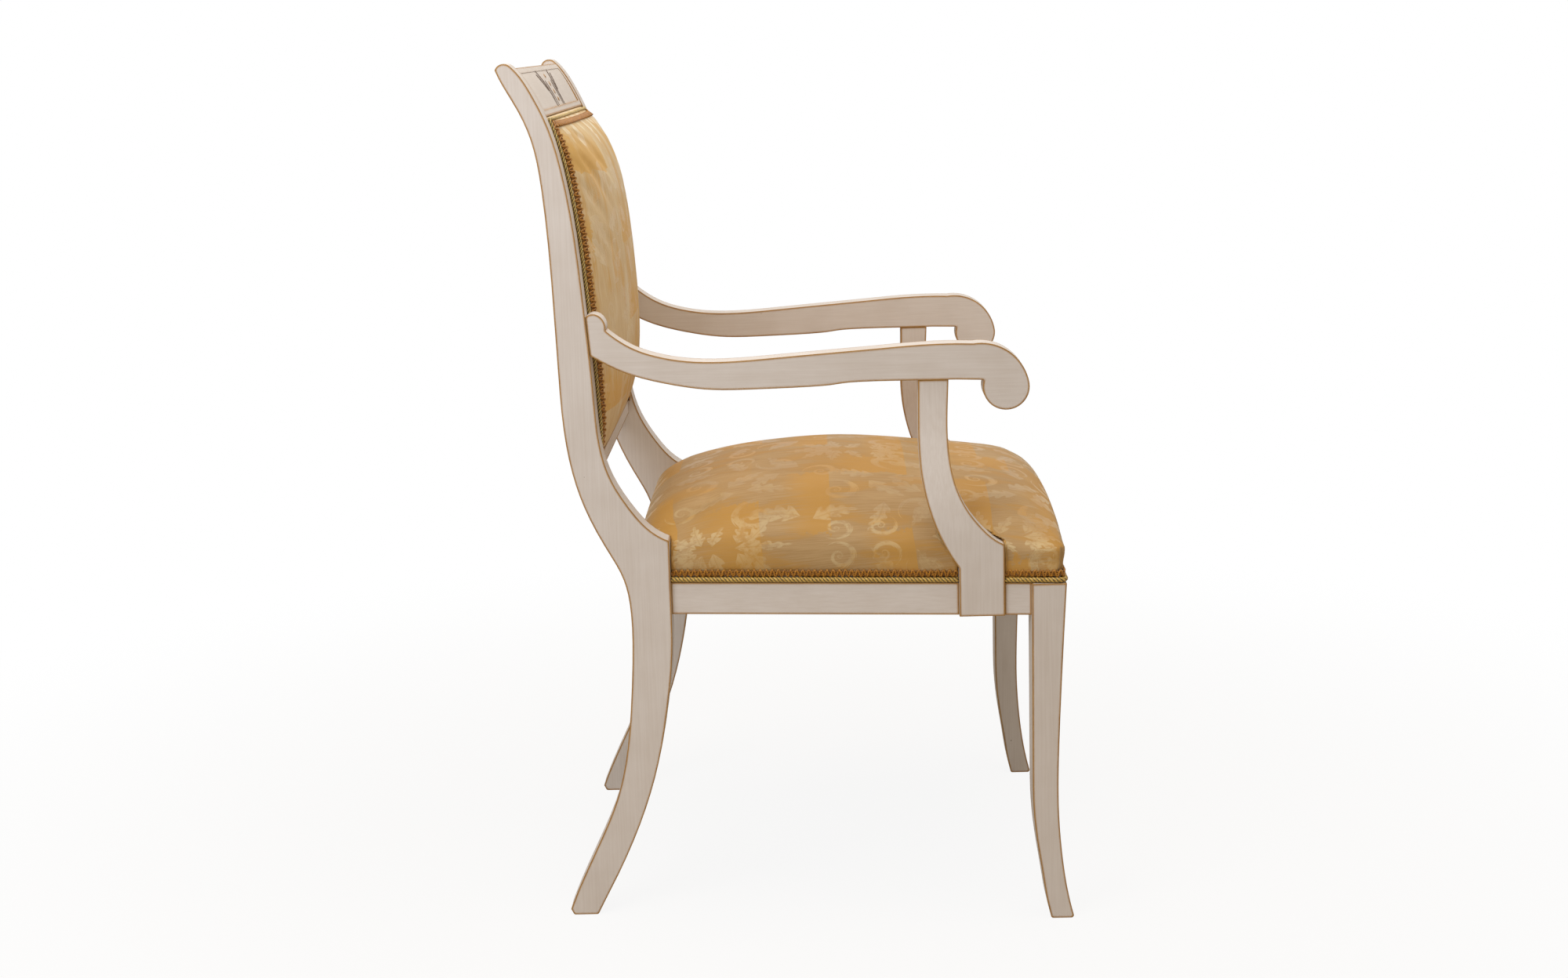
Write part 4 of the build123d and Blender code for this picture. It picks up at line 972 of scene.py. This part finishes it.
seatLines, backLine = seatRoutes(*trim["seatCordAt"]), padRoute(*trim["backCordAt"], forward=True)
seatCord = twistedCord("seatTwistCord", seatLines, trim["cord"], [cordGold, cordOliveValleyShade])
seatGimp = gimpBraid("seatGimpBraid", seatRoutes(*trim["seatGimpAt"]))
backCord = twistedCord("backTwistCord", [backLine], trim["backCord"], [cordStraw, cordOliveValleyShade])
backGimp = gimpBraid("backGimpBraid", [padRoute(*trim["backGimpAt"])])
for piece, node, slot in (
    (seatCord, "seat_twist_cord", "cord"), (seatGimp, "seat_gimp_braid", "gimp"),
    (backCord, "back_twist_cord", "cord"), (backGimp, "back_gimp_braid", "gimp"),
):
    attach(piece, "root")
    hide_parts(node)
print("cords and braids made")


# Rear of the back: the same damask stretched between the posts, and its own braid
rear = {
    "half": 204.4, "low": 527.5, "high": 925.4, "puff": 3.0, "sunk": 2.2, "thick": 1.2, "cells": 48,
    "patternAt": (0.06, 0.05),
    "guide": [
        (496.5, 239.1), (569, 254.8), (640, 259), (746, 262), (850, 268.4), (901.5, 277.1), (935.8, 290.9),
        (966, 307.5)],
}


def rearDepth(x, z):
    u, v = x / rear["half"], (z - rear["low"]) / (rear["high"] - rear["low"])
    swell = max(0.0, 1 - u ** 4) * max(0.0, 1 - (2 * v - 1) ** 4)
    return alongLine(rear["guide"], z) - rear["sunk"] + rear["puff"] * swell


def stretchedSheet(name, spots, step, material):
    # Thin cloth from a grid of points and the same grid a step behind it
    front = [p for row in spots for p in row]
    faces = gridFaces(len(spots), len(spots[0]))
    return meshPiece(name, front + [p + step for p in front], faces, material)


spots = []
for j in range(rear["cells"] + 1):
    z = mix(rear["low"], rear["high"], j / rear["cells"])
    row = [mix(-rear["half"], rear["half"], i / rear["cells"]) for i in range(rear["cells"] + 1)]
    spots.append([Vector((-x, rearDepth(x, z), z)) * mm for x in row])
rearCloth = stretchedSheet("rearCloth", spots, Vector((0, -rear["thick"], 0)) * mm, backDamaskLit)
layCloth(rearCloth, lambda co, normal: (co.x + rear["patternAt"][0], co.z + rear["patternAt"][1]))
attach(rearCloth, "root")
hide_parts("back_rear_cover")

route = []
inset, lift = trim["rearGimpAt"]
for x, z in cornerWalk(rear["half"] - inset, rear["low"] + inset, rear["high"] - inset, closed=True):
    out = Vector((0, 1, -slopeOf(lambda v: rearDepth(x, v), z))).normalized()
    route.append(((Vector((x, rearDepth(x, z), z)) + lift * out) * mm, out))
rearGimp = gimpBraid("rearGimpBraid", [route], closed=True)
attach(rearGimp, "root")
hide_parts("back_rear_gimp_braid")


# Plain-woven cloths of the seat: black cambric below, jute hessian and webbing inside
def plainWeave(name, light, dark, thread, rough):
    material, shader, add = newMaterial(name)
    place = add("TexCoord").outputs["Object"]
    waves = []
    for axis in add("SeparateXYZ", place).outputs[:2]:
        turns = add("Math MULTIPLY", axis, metre * math.pi / thread)
        waves.append(add("Math SINE", turns))
    over = add("Math MULTIPLY", waves[0], waves[1])
    slub = add("TexNoise", {"Vector": place, "Scale": metre / (thread * 6), "Detail": 3.0})
    both = add("Math MULTIPLY_ADD", over, 0.28, slub)
    tone = add("ValToRGB", both, stops=((0.25, dark), (0.75, light)))
    bump = add("Bump", {"Strength": 0.5, "Distance": 0.0004, "Height": over})
    setSockets(shader, {"Base Color": tone, "Normal": bump, "Roughness": rough})
    return material


blackCambric = plainWeave("blackCambric", "#3A3835", "#232120", 1.2, 0.85)
finishNodes(plainWeave("juteHessian", "#BFA377", "#8F744A", 1.8, 0.9), "seat_hessian")
juteWebbing = plainWeave("juteWebbing", "#C9B48C", "#8A6F48", 2.4, 0.85)
finishNodes(juteWebbing, "seat_webbing_cross", "seat_webbing_long")

# Dust cover: cambric tacked under the rails, sagging a little between them, notched at the legs and the posts.
# A notch is a half width and the depth where it starts; sagMiddle and sagReach give the sagging part's depth.
dust = {
    "sag": 5.0, "thick": 0.7, "margin": 6.2, "z": 360.75, "leg": (232.6, -265.6), "post": (204.6, 141.6),
    "front": [-298.8, -290, -280], "middle": (-255, 132), "rear": [150, 165, 178.8], "notch": 0.01,
    "sagMiddle": -60, "sagReach": 212, "sagInset": 32, "cells": (40, 30),
}


def dustHalf(y):
    full = seatHalf(y) - dust["margin"]
    if y < dust["leg"][1]:
        return min(full, dust["leg"][0])
    return min(full, dust["post"][0]) if y > dust["post"][1] else full


wide, deep = dust["cells"]
beforeLeg, afterLeg, beforePost, afterPost = [
    place + step for place in (dust["leg"][1], dust["post"][1]) for step in (-dust["notch"], dust["notch"])]
rows = dust["front"] + [beforeLeg, afterLeg] + [mix(*dust["middle"], k / deep) for k in range(deep + 1)]
spots = []
for y in rows + [beforePost, afterPost] + dust["rear"]:
    row = []
    for i in range(wide + 1):
        x = -mix(-1, 1, i / wide) * dustHalf(y)
        across = max(0.0, 1 - (x / (seatHalf(y) - dust["sagInset"])) ** 2)
        along = max(0.0, 1 - ((y - dust["sagMiddle"]) / dust["sagReach"]) ** 2)
        row.append(Vector((x, y, dust["z"] - dust["sag"] * across * along)) * mm)
    spots.append(row)
dustCloth = stretchedSheet("dustCloth", spots, Vector((0, 0, -dust["thick"])) * mm, blackCambric)
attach(dustCloth, "root")
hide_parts("dust_cover")
print("rear cover, dust cover and inside finishes made")

# Crest carving: low ridges coloured dark brown, as painted shade that stands in for incised grooves, either side of
# a beaded column, on the sunk panel.
# Strokes: points across and up from the middle, and width. Beads: place and radius, in rings of size and lift.
carving = {
    "middle": 953.5, "sunk": 2.2, "edge": 0.35, "rise": 0.8, "grooveShade": "#573D26", "grooveShadePale": "#7A5F44", "grooveShadeStreak": 3,
    "strokes": [
        ([(-56, 21), (-44, 8), (-38, -5), (-37, -21)], 8.0), ([(-70, 17), (-58, 8), (-46, -3)], 9.0),
        ([(-30, 9), (-24, -2), (-23, -20)], 4.0)],
    "beads": [(0, 14, 2.4), (0, 5, 2.8), (0, -4, 2.8), (0, -13, 2.4)],
    "rings": ((1.25, 0.05), (1.0, 0.25), (0.75, 0.9), (0.4, 1.3)), "strokeSteps": 18, "beadSides": 12,
}
crestFront = postFront[-5:]
# Streaked dark brown of the strokes: painted shade of incised grooves
grooveShadeFill, shader, add = newMaterial("paintedGrooveShade")
place = add("TexCoord").outputs["Object"]
streaks = add("TexNoise", {"Vector": place, "Scale": metre / carving["grooveShadeStreak"], "Detail": 3.0})
tone = add("Mix RGBA", {0: streaks, 6: carving["grooveShade"], 7: carving["grooveShadePale"]})
setSockets(shader, {"Base Color": tone, "Roughness": 0.55})


def panelPoint(x, z, rise):
    out = Vector((0, -1, slopeOf(partial(alongLine, crestFront), z))).normalized()
    return (Vector((x, alongLine(crestFront, z) + carving["sunk"], z)) + rise * out) * mm


points, faces, layers = [], [], []
steps, sides = carving["strokeSteps"], carving["beadSides"]
for side in (-1, 1):
    for line, width in carving["strokes"]:
        acrossLine, upLine = [[(k, spot[axis]) for k, spot in enumerate(line)] for axis in (0, 1)]
        first = len(points)
        for i in range(steps + 1):
            t = i / steps
            k = t * (len(line) - 1)
            x, z = alongLine(acrossLine, k), carving["middle"] + alongLine(upLine, k)
            spread = width / 2 * math.sin(math.pi * (0.06 + 0.88 * t)) ** 0.6 * (1 - 0.4 * t)
            for shift, lift in ((-spread, carving["edge"]), (0, carving["rise"]), (spread, carving["edge"])):
                points.append(panelPoint(side * (x + shift), z, lift))
        for i in range(steps):
            for a in (first + i * 3, first + i * 3 + 1):
                faces.append((a, a + 1, a + 4, a + 3) if side > 0 else (a + 3, a + 4, a + 1, a))
                layers.append(0)
for x, z, radius in carving["beads"]:
    first = len(points)
    for ring, lift in carving["rings"]:
        for k in range(sides):
            angle = 2 * math.pi * k / sides
            across, up = radius * ring * math.cos(angle), radius * ring * math.sin(angle)
            points.append(panelPoint(x + across, carving["middle"] + z + up, lift))
    faces += ringFaces(first, len(carving["rings"]), sides) + [tuple(range(len(points) - sides, len(points)))]
layers += [1] * (len(faces) - len(layers))
crestCarving = meshPiece("crestCarving", points, faces, [grooveShadeFill, woodAcross], layers=layers)
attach(crestCarving, "root")
print("crest carving made")
